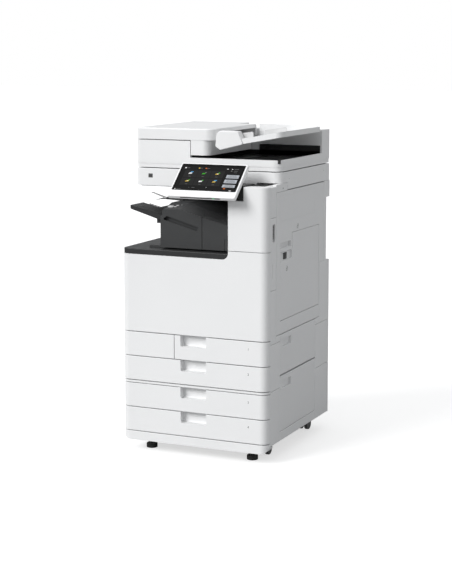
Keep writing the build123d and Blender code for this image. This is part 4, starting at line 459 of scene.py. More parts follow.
@dataclass(frozen=True)
class Plastic(Finish):
    """Moulded plastic, grained or smooth.

    Attributes:
        smooth: Lowest roughness.
        rough: Highest roughness.
        grain_size: Pebbles of the grain, per metre.
        grain_depth: Depth of the grain, in metres.
        drift: How dark the darker patches are, as a share.
        dust: How much dust lies on top.
        dust_colour: Colour of that dust.
        scuff: How strong the hair scratches are.
        edge: How much the outer edges are rubbed.
        edge_colour: Colour of the rubbed edges.
        coat: Weight of a clear gloss.
        ior: How strongly it mirrors.
    """

    smooth: float = 0.42
    rough: float = 0.56
    grain_size: float = 950.0
    grain_depth: float = 0.000012
    drift: float = 0.965
    dust: float = 0.1
    dust_colour: Colour = (0.52, 0.5, 0.47)
    scuff: float = 0.15
    edge: float = 0.0
    edge_colour: Colour = (0.3, 0.3, 0.31)
    coat: float = 0.0
    ior: float = 1.48

    def material(self, shelf: EffectShelf) -> bpy.types.Material:
        """Makes the plastic.

        Args:
            shelf: The shared effects.

        Returns:
            The material.
        """
        material, graph, surface = self.shader()
        tint = shelf.put(
            graph, Effect.TINT, {"Base": self.shade(1.0), "Drift": self.shade(self.drift), "Size": 2.6}
        )
        grain = shelf.put(
            graph,
            Effect.GRAIN,
            {"Size": self.grain_size, "Depth": self.grain_depth, "Smooth": self.smooth, "Rough": self.rough},
        )
        colour = tint.outputs["Color"]
        rough = grain.outputs["Roughness"]
        if self.edge:
            rub = shelf.put(graph, Effect.EDGE, {"Amount": self.edge}).outputs["Mask"]
            colour = graph.blend(rub, colour, (*self.edge_colour, 1.0))
        if self.dust:
            film = shelf.put(graph, Effect.DUST, {"Amount": self.dust}).outputs["Mask"]
            colour = graph.blend(film, colour, (*self.dust_colour, 1.0))
            rough = graph.math(rough, graph.math(film, 0.5, "MULTIPLY"), clamp=True)
        if self.scuff:
            hair = shelf.put(graph, Effect.SCUFF, {"Amount": self.scuff}).outputs["Mask"]
            rough = graph.math(rough, graph.math(hair, 0.35, "MULTIPLY"), clamp=True)
        graph.feed(surface, {
            "Base Color": colour, "Roughness": rough, "Normal": grain.outputs["Normal"], "IOR": self.ior,
            "Coat Weight": self.coat, "Coat Roughness": COAT_ROUGHNESS,
        })
        return material


@dataclass(frozen=True)
class Metal(Finish):
    """Bare or plated metal with rolling lines.

    Attributes:
        smooth: Lowest roughness.
        rough: Highest roughness.
        stretch: Lines per metre along X, Y and Z; the smallest runs along the lines.
        spangle: How strong the zinc flakes show.
        metallic: 1 for bare metal, less under a film.
    """

    smooth: float = 0.26
    rough: float = 0.46
    stretch: tuple[float, float, float] = (10.0, 900.0, 900.0)
    spangle: float = 0.25
    metallic: float = 1.0

    def material(self, shelf: EffectShelf) -> bpy.types.Material:
        """Makes the metal.

        Args:
            shelf: The shared effects.

        Returns:
            The material.
        """
        material, graph, surface = self.shader()
        lines = shelf.put(
            graph, Effect.BRUSH, {"Stretch": self.stretch, "Smooth": self.smooth, "Rough": self.rough}
        )
        flakes = graph.add("ShaderNodeTexVoronoi", {"Vector": graph.place(), "Scale": 70.0}).outputs["Color"]
        tone = graph.add("ShaderNodeSeparateColor", {0: flakes}).outputs[0]
        share = graph.math(tone, self.spangle, "MULTIPLY")
        colour = graph.blend(share, self.shade(1.0), self.shade(0.55))
        film = shelf.put(graph, Effect.DUST, {"Amount": 0.1}).outputs["Mask"]
        colour = graph.blend(film, colour, (0.4, 0.39, 0.37, 1.0))
        graph.feed(surface, {
            "Base Color": colour, "Roughness": lines.outputs["Roughness"], "Normal": lines.outputs["Normal"],
            "Metallic": self.metallic,
        })
        return material


@dataclass(frozen=True)
class Rubber(Finish):
    """Soft rubber with a dull bloom and ground edges.

    Attributes:
        roughness: How dull it is.
    """

    roughness: float = 0.72

    def material(self, shelf: EffectShelf) -> bpy.types.Material:
        """Makes the rubber.

        Args:
            shelf: The shared effects.

        Returns:
            The material.
        """
        material, graph, surface = self.shader()
        tint = shelf.put(graph, Effect.TINT, {"Base": self.shade(1.0), "Drift": self.shade(1.5), "Size": 30.0})
        grain = shelf.put(
            graph,
            Effect.GRAIN,
            {"Size": 1400.0, "Depth": 0.00003, "Smooth": self.roughness - 0.1, "Rough": self.roughness + 0.12},
        )
        rub = shelf.put(graph, Effect.EDGE, {"Width": 0.0008, "Amount": 0.35}).outputs["Mask"]
        film = shelf.put(graph, Effect.DUST, {"Amount": 0.25}).outputs["Mask"]
        colour = graph.blend(rub, tint.outputs["Color"], self.shade(3.0))
        colour = graph.blend(film, colour, (0.3, 0.29, 0.27, 1.0))
        graph.feed(surface, {
            "Base Color": colour, "Roughness": grain.outputs["Roughness"], "Normal": grain.outputs["Normal"],
        })
        return material


@dataclass(frozen=True)
class ClearGlass(Finish):
    """Clear float glass with a faint haze of wiping."""

    def material(self, shelf: EffectShelf) -> bpy.types.Material:
        """Makes the glass.

        Args:
            shelf: The shared effects.

        Returns:
            The material.
        """
        material, graph, surface = self.shader()
        haze = graph.noise(9.0, 5.0)
        graph.feed(surface, {
            "Roughness": graph.spread(haze, 0.3, 0.7, 0.02, 0.09),
            "Base Color": graph.blend(graph.spread(haze, 0.3, 0.7), self.shade(1.0), self.shade(0.96)),
            "Transmission Weight": 1.0, "IOR": GLASS_IOR,
        })
        return material


@dataclass(frozen=True)
class Glow(Finish):
    """A lit patch of a display or lamp, slightly uneven.

    Attributes:
        strength: How brightly it shines.
        fade: Share of its colour at the dim patches.
    """

    strength: float = 0.6
    fade: float = 0.82

    def material(self, shelf: EffectShelf) -> bpy.types.Material:
        """Makes the lit surface.

        Args:
            shelf: The shared effects.

        Returns:
            The material.
        """
        material, graph, surface = self.shader()
        cloud = graph.noise(160.0, 2.0)
        share = graph.spread(cloud, 0.35, 0.65)
        lit = graph.blend(share, self.shade(1.0), self.shade(self.fade))
        body = graph.blend(share, self.shade(0.25), self.shade(0.25 * self.fade))
        graph.feed(surface, {
            "Base Color": body, "Emission Color": lit, "Emission Strength": self.strength, "IOR": SCREEN_IOR,
            "Roughness": graph.spread(cloud, 0.3, 0.7, 0.1, 0.2),
        })
        return material


class Stock:
    """Every finish of the machine, by name, made the first time it is asked for."""

    FINISHES: tuple[Finish, ...] = (
        Plastic("shell_white", grey(0.79, -0.004), dust=0.06),
        Plastic("door_white", grey(0.775, -0.004), dust=0.05),
        Plastic("reader_white", grey(0.8, -0.003), dust=0.07, smooth=0.38, rough=0.5),
        Plastic("bezel_white", grey(0.86), smooth=0.24, rough=0.34, grain_depth=0.000003, dust=0.03, coat=0.25),
        Plastic("key_grey", grey(0.5), smooth=0.32, rough=0.42, grain_depth=0.000004, dust=0.04),
        Plastic("guide_grey", grey(0.62), smooth=0.34, rough=0.48, dust=0.05),
        Plastic("tray_grey", grey(0.2, -0.02), dust=0.12, edge=0.2),
        Plastic("charcoal", grey(0.034, -0.03), smooth=0.4, rough=0.56, grain_depth=0.00003, dust=0.05,
                dust_colour=grey(0.2), edge=0.12, edge_colour=grey(0.13), drift=0.88),
        Plastic("deep_charcoal", grey(0.017, -0.04), smooth=0.38, rough=0.54, grain_depth=0.00003, dust=0.05,
                dust_colour=grey(0.12), edge=0.15, edge_colour=grey(0.09), drift=0.85),
        Plastic("soot_black", grey(0.006), smooth=0.34, rough=0.5, grain_depth=0.00002, dust=0.03,
                dust_colour=grey(0.08), edge=0.2, edge_colour=grey(0.05), drift=0.8),
        Plastic("mark_grey", grey(0.12), smooth=0.4, rough=0.5, grain_depth=0.0, dust=0.0, scuff=0.05),
        Plastic("number_grey", grey(0.07), smooth=0.4, rough=0.5, grain_depth=0.0, dust=0.0, scuff=0.05),
        Plastic("badge_black", grey(0.05), smooth=0.3, rough=0.42, grain_depth=0.000002, dust=0.0, scuff=0.05),
        Plastic("drum_blue", (0.02, 0.12, 0.13), smooth=0.16, rough=0.24, grain_depth=0.0, dust=0.0, coat=0.6),
        Plastic("toner_cyan", (0.02, 0.3, 0.45), dust=0.05),
        Plastic("toner_magenta", (0.45, 0.03, 0.16), dust=0.05),
        Plastic("toner_yellow", (0.6, 0.45, 0.03), dust=0.05),
        Plastic("toner_black", grey(0.03), dust=0.05),
        Plastic("screen_black", grey(0.004), smooth=0.05, rough=0.1, grain_depth=0.0, dust=0.0, scuff=0.02,
                drift=0.9, ior=1.18),
        Metal("zinc_sheet", grey(0.62, -0.01)),
        Metal("bright_steel", grey(0.68), smooth=0.16, rough=0.32, spangle=0.05),
        Metal("hinge_steel", grey(0.5), smooth=0.25, rough=0.4, spangle=0.08, stretch=(900.0, 900.0, 12.0)),
        Metal("caster_steel", grey(0.2), smooth=0.35, rough=0.55, spangle=0.1),
        Metal("roller_coat", grey(0.12), smooth=0.2, rough=0.35, spangle=0.05, metallic=0.3),
        Metal("belt_film", grey(0.03), smooth=0.12, rough=0.22, spangle=0.0, metallic=0.2),
        Rubber("tyre_grey", grey(0.1), roughness=0.6),
        Rubber("foot_rubber", grey(0.014), roughness=0.6),
        Rubber("feed_rubber", grey(0.09, 0.02), roughness=0.8),
        Rubber("press_rubber", (0.32, 0.1, 0.05), roughness=0.6),
        ClearGlass("platen_glass", (0.93, 0.98, 0.96)),
        Glow("page_grey", grey(0.012), strength=0.4, fade=0.9),
        Glow("tile_grey", grey(0.026), strength=0.4, fade=0.92),
        Glow("strip_light", (0.62, 0.66, 0.72), strength=0.5),
        Glow("note_white", grey(0.85), strength=0.8),
        Glow("note_dim", grey(0.2), strength=0.4),
        Glow("icon_blue", (0.1, 0.42, 0.8), strength=0.5),
        Glow("icon_green", (0.06, 0.5, 0.03), strength=0.5),
        Glow("icon_yellow", (0.8, 0.55, 0.08), strength=0.5),
        Glow("icon_orange", (0.75, 0.18, 0.04), strength=0.5),
        Glow("lamp_green", (0.0, 0.6, 0.15), strength=0.7),
        Glow("scan_lamp", grey(0.8), strength=0.3),
    )

    def __init__(self, shelf: EffectShelf) -> None:
        """Keeps the effects and an empty set of made materials.

        Args:
            shelf: The shared effects.
        """
        self.shelf = shelf
        self.known = {finish.name: finish for finish in self.FINISHES}
        self.made: dict[str, bpy.types.Material] = {}

    def get(self, name: str) -> bpy.types.Material:
        """Finds a material, making it if it is new.

        Args:
            name: The finish's name.

        Returns:
            The material.
        """
        if name not in self.made:
            self.made[name] = self.known[name].material(self.shelf)
        return self.made[name]


# ----------------------------------------------------------------------- shapes


@dataclass(frozen=True)
class Face:
    """A flat place on the machine that small parts are laid on.

    Attributes:
        origin: Where a and b are both 0.
        across: Direction of a.
        up: Direction of b.
    """

    origin: Vector
    across: Vector
    up: Vector

    @property
    def out(self) -> Vector:
        """Returns the direction that points away from the machine."""
        return self.across.cross(self.up)

    def at(self, a: float, b: float, c: float = 0.0) -> Vector:
        """Returns the point a across, b up and c out of the face, in metres."""
        return self.origin + self.across * a + self.up * b + self.out * c


class Side(Enum):
    """The machine's outer directions, as across and up."""

    FRONT = ((1, 0, 0), (0, 0, 1))
    RIGHT = ((0, 1, 0), (0, 0, 1))
    LEFT = ((0, -1, 0), (0, 0, 1))
    REAR = ((-1, 0, 0), (0, 0, 1))
    TOP = ((1, 0, 0), (0, 1, 0))

    def face(self, origin: Iterable[float]) -> Face:
        """Returns the face through origin that looks this way."""
        across, up = self.value
        return Face(Vector(origin), Vector(across), Vector(up))


def oblong(a: float, b: float, width: float, height: float, radius: float = 0.0, steps: int = 4) -> Outline:
    """Draws a rectangle with round corners.

    Args:
        a: Centre, across.
        b: Centre, up.
        width: Full width.
        height: Full height.
        radius: Corner radius.
        steps: Straight pieces in each corner.

    Returns:
        The outline, counter-clockwise.
    """
    if radius <= 0:
        half_w, half_h = width / 2, height / 2
        signs = ((-1, -1), (1, -1), (1, 1), (-1, 1))
        return [(a + sign_a * half_w, b + sign_b * half_h) for sign_a, sign_b in signs]
    radius = min(radius, width / 2 - 1e-6, height / 2 - 1e-6)
    corners = ((1, -1, -90), (1, 1, 0), (-1, 1, 90), (-1, -1, 180))
    outline = []
    for sign_a, sign_b, start in corners:
        for step in range(steps + 1):
            angle = math.radians(start + 90 * step / steps)
            outline.append((
                a + sign_a * (width / 2 - radius) + radius * math.cos(angle),
                b + sign_b * (height / 2 - radius) + radius * math.sin(angle),
            ))
    return outline


def turned(outline: Outline, angle: float, a: float = 0.0, b: float = 0.0) -> Outline:
    """Turns an outline about a point.

    Args:
        outline: The outline.
        angle: Degrees, counter-clockwise.
        a: The point, across.
        b: The point, up.

    Returns:
        The turned outline.
    """
    cos, sin = math.cos(math.radians(angle)), math.sin(math.radians(angle))
    return [(a + (x - a) * cos - (y - b) * sin, b + (x - a) * sin + (y - b) * cos) for x, y in outline]


def circle(a: float, b: float, radius: float, steps: int = 24) -> Outline:
    """Returns a circle's outline around (a, b)."""
    return [
        (a + radius * math.cos(math.tau * i / steps), b + radius * math.sin(math.tau * i / steps))
        for i in range(steps)
    ]


@dataclass(frozen=True)
class Trim:
    """What a small part is made of and what it belongs to.

    Attributes:
        finish: The finish's name.
        body: The body that carries it.
        slot: The record's material slot; not used.
    """

    finish: str
    body: str
    slot: str


class Bench:
    """Makes small parts and fits them to the machine's bodies."""

    def __init__(self, stock: Stock, nodes: dict[str, bpy.types.Object]) -> None:
        """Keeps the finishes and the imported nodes.

        Args:
            stock: Every finish.
            nodes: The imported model's objects by name.
        """
        self.stock = stock
        self.nodes = nodes
        self.pieces = 0

    def dress(self, finish: str, *names: str) -> None:
        """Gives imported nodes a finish.

        Args:
            finish: The finish's name.
            *names: The nodes.
        """
        for name in names:
            node = self.nodes[name]
            for slot in node.material_slots:
                slot.material = self.stock.get(finish)
            LOG.info("%s finished in %s", name, finish)

    def fit(self, name: str, mesh: bmesh.types.BMesh, trim: Trim) -> None:
        """Turns a mesh into a piece that rides on a body.

        Args:
            name: The piece's name.
            mesh: Its shape in the machine's frame; it is freed here.
            trim: Its finish, body and slot.
        """
        bmesh.ops.recalc_face_normals(mesh, faces=mesh.faces)
        data = bpy.data.meshes.new(name)
        mesh.to_mesh(data)
        mesh.free()
        for polygon in data.polygons:
            polygon.use_smooth = True
        data.set_sharp_from_angle(angle=math.radians(SHARP_ANGLE))
        data.materials.append(self.stock.get(trim.finish))
        piece = bpy.data.objects.new(name, data)
        bpy.context.scene.collection.objects.link(piece)
        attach(piece, trim.body)
        self.pieces += 1
        LOG.info("%s fitted to %s", name, trim.body)

    @staticmethod
    def prism(
        mesh: bmesh.types.BMesh, face: Face, outline: Outline, low: float, high: float, soft: float = 0.0
    ) -> None:
        """Adds an outline pulled out of a face, with softened outer edges.

        Args:
            mesh: The mesh to add to.
            face: Where the outline lies.
            outline: The outline, in metres.
            low: Where it starts, out of the face.
            high: Where it ends, out of the face.
            soft: Radius of the outer edges.
        """
        base = [mesh.verts.new(face.at(a, b, low)) for a, b in outline]
        cap = [mesh.verts.new(face.at(a, b, high)) for a, b in outline]
        mesh.faces.new(list(reversed(base)))
        top = mesh.faces.new(cap)
        Bench.band(mesh, base, cap)
        if soft > 0:
            bmesh.ops.bevel(mesh, geom=list(top.edges), offset=soft, segments=3, affect="EDGES", profile=0.5)

    def plates(
        self, name: str, face: Face, outlines: Sequence[Outline], thick: float, trim: Trim,
        sunk: float = 0.0003, soft: float = 0.0,
    ) -> None:
        """Makes one piece of flat parts laid on a face.

        Args:
            name: The piece's name.
            face: Where they lie.
            outlines: Their outlines, in metres.
            thick: How far they stand out.
            trim: Their finish, body and slot.
            sunk: How far they reach into the face.
            soft: Radius of their outer edges.
        """
        mesh = bmesh.new()
        for outline in outlines:
            self.prism(mesh, face, outline, -sunk, thick, soft)
        self.fit(name, mesh, trim)

    def lathe(
        self, name: str, face: Face, centre: tuple[float, float], profile: Outline, trim: Trim
    ) -> None:
        """Makes a turned part that stands out of a face.

        Args:
            name: The piece's name.
            face: Where it stands.
            centre: Its axis, across and up.
            profile: Radius and height pairs from the bottom to the top.
            trim: Its finish, body and slot.
        """
        mesh = bmesh.new()
        rings = [
            [mesh.verts.new(face.at(a, b, height)) for a, b in circle(*centre, radius, LATHE_SIDES)]
            for radius, height in profile
        ]
        for lower, upper in zip(rings, rings[1:]):
            self.band(mesh, lower, upper)
        mesh.faces.new(list(reversed(rings[0])))
        mesh.faces.new(rings[-1])
        self.fit(name, mesh, trim)

    @staticmethod
    def band(mesh: bmesh.types.BMesh, lower: Sequence[Any], upper: Sequence[Any]) -> None:
        """Joins two rings of points with a band of faces.

        Args:
            mesh: The mesh they are in.
            lower: One ring.
            upper: The other, with as many points.
        """
        count = len(lower)
        for i in range(count):
            mesh.faces.new((lower[i], lower[(i + 1) % count], upper[(i + 1) % count], upper[i]))

    def screws(
        self, name: str, face: Face, centres: Sequence[tuple[float, float]], slot: str, radius: float = 0.0033
    ) -> None:
        """Makes domed screw heads with a cross cut in each, on the frame.

        Args:
            name: The piece's name.
            face: Where they sit.
            centres: Their centres, across and up.
            slot: The record's material slot.
            radius: Radius of a head.
        """
        mesh = bmesh.new()
        steps, arm, cut = SCREW_SIDES, radius * 0.62, radius * 0.16
        for turn, (a, b) in enumerate(centres):
            heights = ((1.0, -0.0003), (1.0, radius * 0.12), (0.9, radius * 0.3), (0.74, radius * 0.38))
            rings = [
                [mesh.verts.new(face.at(x, y, high)) for x, y in circle(a, b, radius * share, steps)]
                for share, high in heights
            ]
            for lower, upper in zip(rings, rings[1:]):
                self.band(mesh, lower, upper)
            mesh.faces.new(list(reversed(rings[0])))
            cross = turned(
                [(a + x, b + y) for x, y in (
                    (arm, -cut), (arm, cut), (cut, cut), (cut, arm), (-cut, arm), (-cut, cut), (-arm, cut),
                    (-arm, -cut), (-cut, -cut), (-cut, -arm), (cut, -arm), (cut, -cut))],
                17.0 + 29.0 * turn, a, b,
            )
            rim = [mesh.verts.new(face.at(x, y, radius * 0.38)) for x, y in cross]
            floor = [mesh.verts.new(face.at(x, y, radius * 0.05)) for x, y in cross]
            count = len(cross)
            edges = [mesh.edges.new((rim[i], rim[(i + 1) % count])) for i in range(count)]
            outer = [mesh.edges.get((rings[-1][i], rings[-1][(i + 1) % steps])) for i in range(steps)]
            bmesh.ops.triangle_fill(mesh, use_beauty=True, edges=edges + outer)
            self.band(mesh, rim, floor)
            mesh.faces.new(floor)
        self.fit(name, mesh, Trim("bright_steel", FRAME_NAME, slot))

    def number(self, name: str, face: Face, digit: str, height: float, trim: Trim) -> None:
        """Makes a raised digit on a face.

        Args:
            name: The piece's name.
            face: Where it sits, with its centre at the face's origin.
            digit: The digit.
            height: How tall it is.
            trim: Its finish, body and slot.
        """
        curve = bpy.data.curves.new(name + "_curve", "FONT")
        curve.body = digit
        curve.align_x, curve.align_y = "CENTER", "CENTER"
        curve.size = height / 0.72
        curve.extrude = DIGIT_THICK
        drawn = bpy.data.objects.new(name + "_drawn", curve)
        bpy.context.scene.collection.objects.link(drawn)
        bpy.context.view_layer.update()
        data = bpy.data.meshes.new_from_object(drawn.evaluated_get(bpy.context.evaluated_depsgraph_get()))
        mesh = bmesh.new()
        mesh.from_mesh(data)
        bmesh.ops.remove_doubles(mesh, verts=mesh.verts, dist=1e-6)
        for vert in mesh.verts:
            x, y, z = vert.co
            vert.co = face.at(x, y, z)
        bpy.data.objects.remove(drawn)
        bpy.data.meshes.remove(data)
        self.fit(name, mesh, trim)


def mid(node: str) -> Vector:
    """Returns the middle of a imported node's box."""
    low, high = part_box(node)
    return (low + high) / 2


def touch(node: bpy.types.Object, start: Iterable[float], way: Iterable[float]) -> tuple[Vector, Vector]:
    """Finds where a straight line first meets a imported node.

    Args:
        node: The node's object.
        start: Where the line starts.
        way: Its direction.

    Returns:
        The meeting point and the surface's normal there.
    """
    hit, place, normal, _ = node.ray_cast(Vector(start), Vector(way).normalized())
    if not hit:
        raise ValueError(f"nothing of {node.name} lies that way")
    return Vector(place), Vector(normal)


def resting(place: Vector, normal: Vector) -> Face:
    """Returns the face through a point with this normal, its across as near +X as it can be."""
    across = (Vector((1, 0, 0)) - normal * normal.x).normalized()
    return Face(place, across, normal.cross(across))


def sheet_symbol(size: float, stroke: float, angle: float) -> list[Outline]:
    """Draws a plain loaded-paper symbol: two slanting sheets and a fold line.

    Args:
        size: Length of a sheet.
        stroke: Width of the lines.
        angle: How far it is turned, in degrees.

    Returns:
        The outlines of its lines.
    """
    lines = []
    for shift, share in ((0.0, 1.0), (0.28 * size, 0.7)):
        wide, tall = size * 0.42, size * share
        for a, b, width, height in (
            (shift, tall / 2, wide, stroke), (shift, -tall / 2, wide, stroke),
            (shift - wide / 2, 0.0, stroke, tall), (shift + wide / 2, 0.0, stroke, tall),
        ):
            lines.append(turned(oblong(a, b, width, height), angle))
    lines.append(turned(oblong(0.0, 0.0, size * 0.5, stroke), angle + 25))
    return lines


# ---------------------------------------------------------------- sub-assemblies


@dataclass
class SubAssembly:
    """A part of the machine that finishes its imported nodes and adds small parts.

    Attributes:
        NODES: Each finish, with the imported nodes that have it.
    """

    NODES: ClassVar[tuple[tuple[str, ...], ...]] = ()

    def add_parts(self, bench: Bench) -> None:
        """Adds the small parts, where there are any."""

    def build(self, bench: Bench) -> None:
        """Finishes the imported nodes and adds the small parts.

        Args:
            bench: Where parts are made.
        """
        for finish, *names in self.NODES:
            bench.dress(finish, *names)
        self.add_parts(bench)


@dataclass
class Cabinet(SubAssembly):
    """Steel frames, fixed covers and what is screwed to them.

    Attributes:
        screw_spots: Depth from the front and height of each cover screw, on the right.
    """

    NODES: ClassVar[tuple[tuple[str, ...], ...]] = (
        ("zinc_sheet", "lower_frame", "main_frame"),
        ("shell_white", "base_skirt", "left_covers", "rear_covers", "right_covers", "tower_cover"),
    )
    screw_spots: tuple[tuple[float, float], ...] = (
        (0.087, 0.3055), (0.087, 0.2394), (0.085, 0.0974), (0.4885, 0.309), (0.503, 0.2415), (0.4885, 0.0987),
    )

    def fasten(self, bench: Bench) -> None:
        """Puts the screws in the side covers.

        Args:
            bench: Where parts are made.
        """
        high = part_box("right_covers")[1]
        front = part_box("front_cover")[0].y
        wall = Side.RIGHT.face((high.x - 0.0014, front, 0.0))
        bench.screws("cover_screws_right", wall, self.screw_spots, "cover_white")
        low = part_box("left_covers")[0]
        wall = Side.LEFT.face((low.x + 0.0014, front, 0.0))
        spots = [(-depth, rise) for depth in (0.085, 0.3, 0.515) for rise in (0.085, 0.235, 0.285, 0.68)]
        bench.screws("cover_screws_left", wall, spots, "cover_white")
        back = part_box("left_covers")[1].y
        wall = Side.REAR.face((0.0, back - 0.0004, 0.0))
        spots = [(side * 0.262, rise) for side in (-1, 1) for rise in (0.09, 0.23, 0.29, 0.55, 0.82)]
        bench.screws("cover_screws_rear", wall, spots, "rear_white")

    def mark(self, bench: Bench) -> None:
        """Adds a flat black plate with dark slots on the tower top, and the small marks beside it.

        Args:
            bench: Where parts are made.
        """
        # A flat black plate with seven dark slots, laid on the tower top.
        low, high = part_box("tower_cover")
        top = Side.TOP.face((0.0, low.y, high.z - 0.0002))
        bench.plates(
            "tower_black_plate", top, [oblong(0.2225, 0.0825, 0.059, 0.068, 0.003)], 0.0008,
            Trim("soot_black", FRAME_NAME, "arm_black"), soft=0.0003,
        )
        slots = [oblong(0.2225, 0.0825 + 0.008 * (i - 3), 0.05, 0.0028, 0.001) for i in range(7)]
        bench.plates("tower_inset_ribs", top, slots, 0.0013, Trim("deep_charcoal", FRAME_NAME, "arm_black"))
        wall = Side.RIGHT.face((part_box("right_covers")[1].x, low.y, 0.0))
        arrow = [(0.1345, 0.9565), (0.1425, 0.9565), (0.1385, 0.9635)]
        bench.plates("alignment_arrow", wall, [arrow], 0.00003, Trim("mark_grey", FRAME_NAME, "cover_white"))

    def add_parts(self, bench: Bench) -> None:
        """Builds the cabinet's looks.

        Args:
            bench: Where parts are made.
        """
        self.fasten(bench)
        self.mark(bench)


@dataclass
class DrawerBank(SubAssembly):
    """Four paper drawers with their numbers, trays and lift plates.

    Attributes:
        number_inset: From the right face to the middle of a number.
        number_rises: Height of each number, top drawer first.
        number_height: Height of a digit.
    """

    number_inset: float = 0.0711
    number_rises: tuple[float, ...] = (0.408, 0.319, 0.220, 0.132)
    number_height: float = 0.0085

    def dress(self, bench: Bench) -> None:
        """Finishes the drawers.

        Args:
            bench: Where parts are made.
        """
        bench.dress("shell_white", "cassette_1_filler")
        for count in range(1, 5):
            bench.dress("shell_white", f"cassette_{count}_front")
            bench.dress("tray_grey", f"cassette_{count}_tray")
            bench.dress("zinc_sheet", f"cassette_{count}_lift_plate")

    def number(self, bench: Bench) -> None:
        """Puts a number on each drawer front.

        Args:
            bench: Where parts are made.
        """
        for count, rise in enumerate(self.number_rises, start=1):
            low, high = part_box(f"cassette_{count}_front")
            face = Side.FRONT.face((high.x - self.number_inset, low.y + 0.0002, rise))
            bench.number(
                f"drawer_number_{count}", face, str(count), self.number_height,
                Trim("number_grey", f"cassette_{count}", "cover_white"),
            )

    def add_parts(self, bench: Bench) -> None:
        """Builds the drawers' looks.

        Args:
            bench: Where parts are made.
        """
        self.dress(bench)
        self.number(bench)


@dataclass
class Doors(SubAssembly):
    """Front cover and the hinged doors of the right side.

    Attributes:
        door_symbol: Depth and height of the paper symbol on the upper door.
        tray_symbol: Depth and height of the one on the bypass tray.
        symbol_size: Height of a symbol.
        catch_depth: Middle of the catch, from the front.
        catch_rise: Height of the catch's middle.
    """

    NODES: ClassVar[tuple[tuple[str, ...], ...]] = (
        ("shell_white", "front_cover"),
        ("door_white", "right_door", "bypass_tray", "middle_door", "lower_door"),
        ("soot_black", "power_switch"),
    )
    door_symbol: tuple[float, float] = (0.2777, 0.8125)
    tray_symbol: tuple[float, float] = (0.1755, 0.6725)
    symbol_size: float = 0.017
    catch_depth: float = 0.171
    catch_rise: float = 0.7185

    def mark(self, bench: Bench) -> None:
        """Puts the paper symbols and the catch on the upper door and bypass tray.

        Args:
            bench: Where parts are made.
        """
        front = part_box("front_cover")[0].y
        for name, node, (depth, rise) in (
            ("paper_symbol_door", "right_door", self.door_symbol),
            ("paper_symbol_tray", "bypass_tray", self.tray_symbol),
        ):
            place, _ = touch(bench.nodes[node], (1.0, front + depth, rise), (-1, 0, 0))
            bench.plates(
                name, Side.RIGHT.face(place), sheet_symbol(self.symbol_size, 0.0011, -28.0), 0.00003,
                Trim("mark_grey", node, "door_white"),
            )
        start = (1.0, front + self.catch_depth, self.catch_rise)
        hits = {}
        for node in ("right_door", "bypass_tray"):
            try:
                hits[node] = touch(bench.nodes[node], start, (-1, 0, 0))[0]
            except ValueError:
                continue
        if hits:
            node = max(hits, key=lambda name: hits[name].x)
            bench.plates(
                "bypass_catch", Side.RIGHT.face(hits[node]), [oblong(0, 0, 0.032, 0.024, 0.001)], 0.001,
                Trim("soot_black", node, "door_white"), soft=0.0004,
            )

    def add_parts(self, bench: Bench) -> None:
        """Builds the doors' looks.

        Args:
            bench: Where parts are made.
        """
        self.mark(bench)


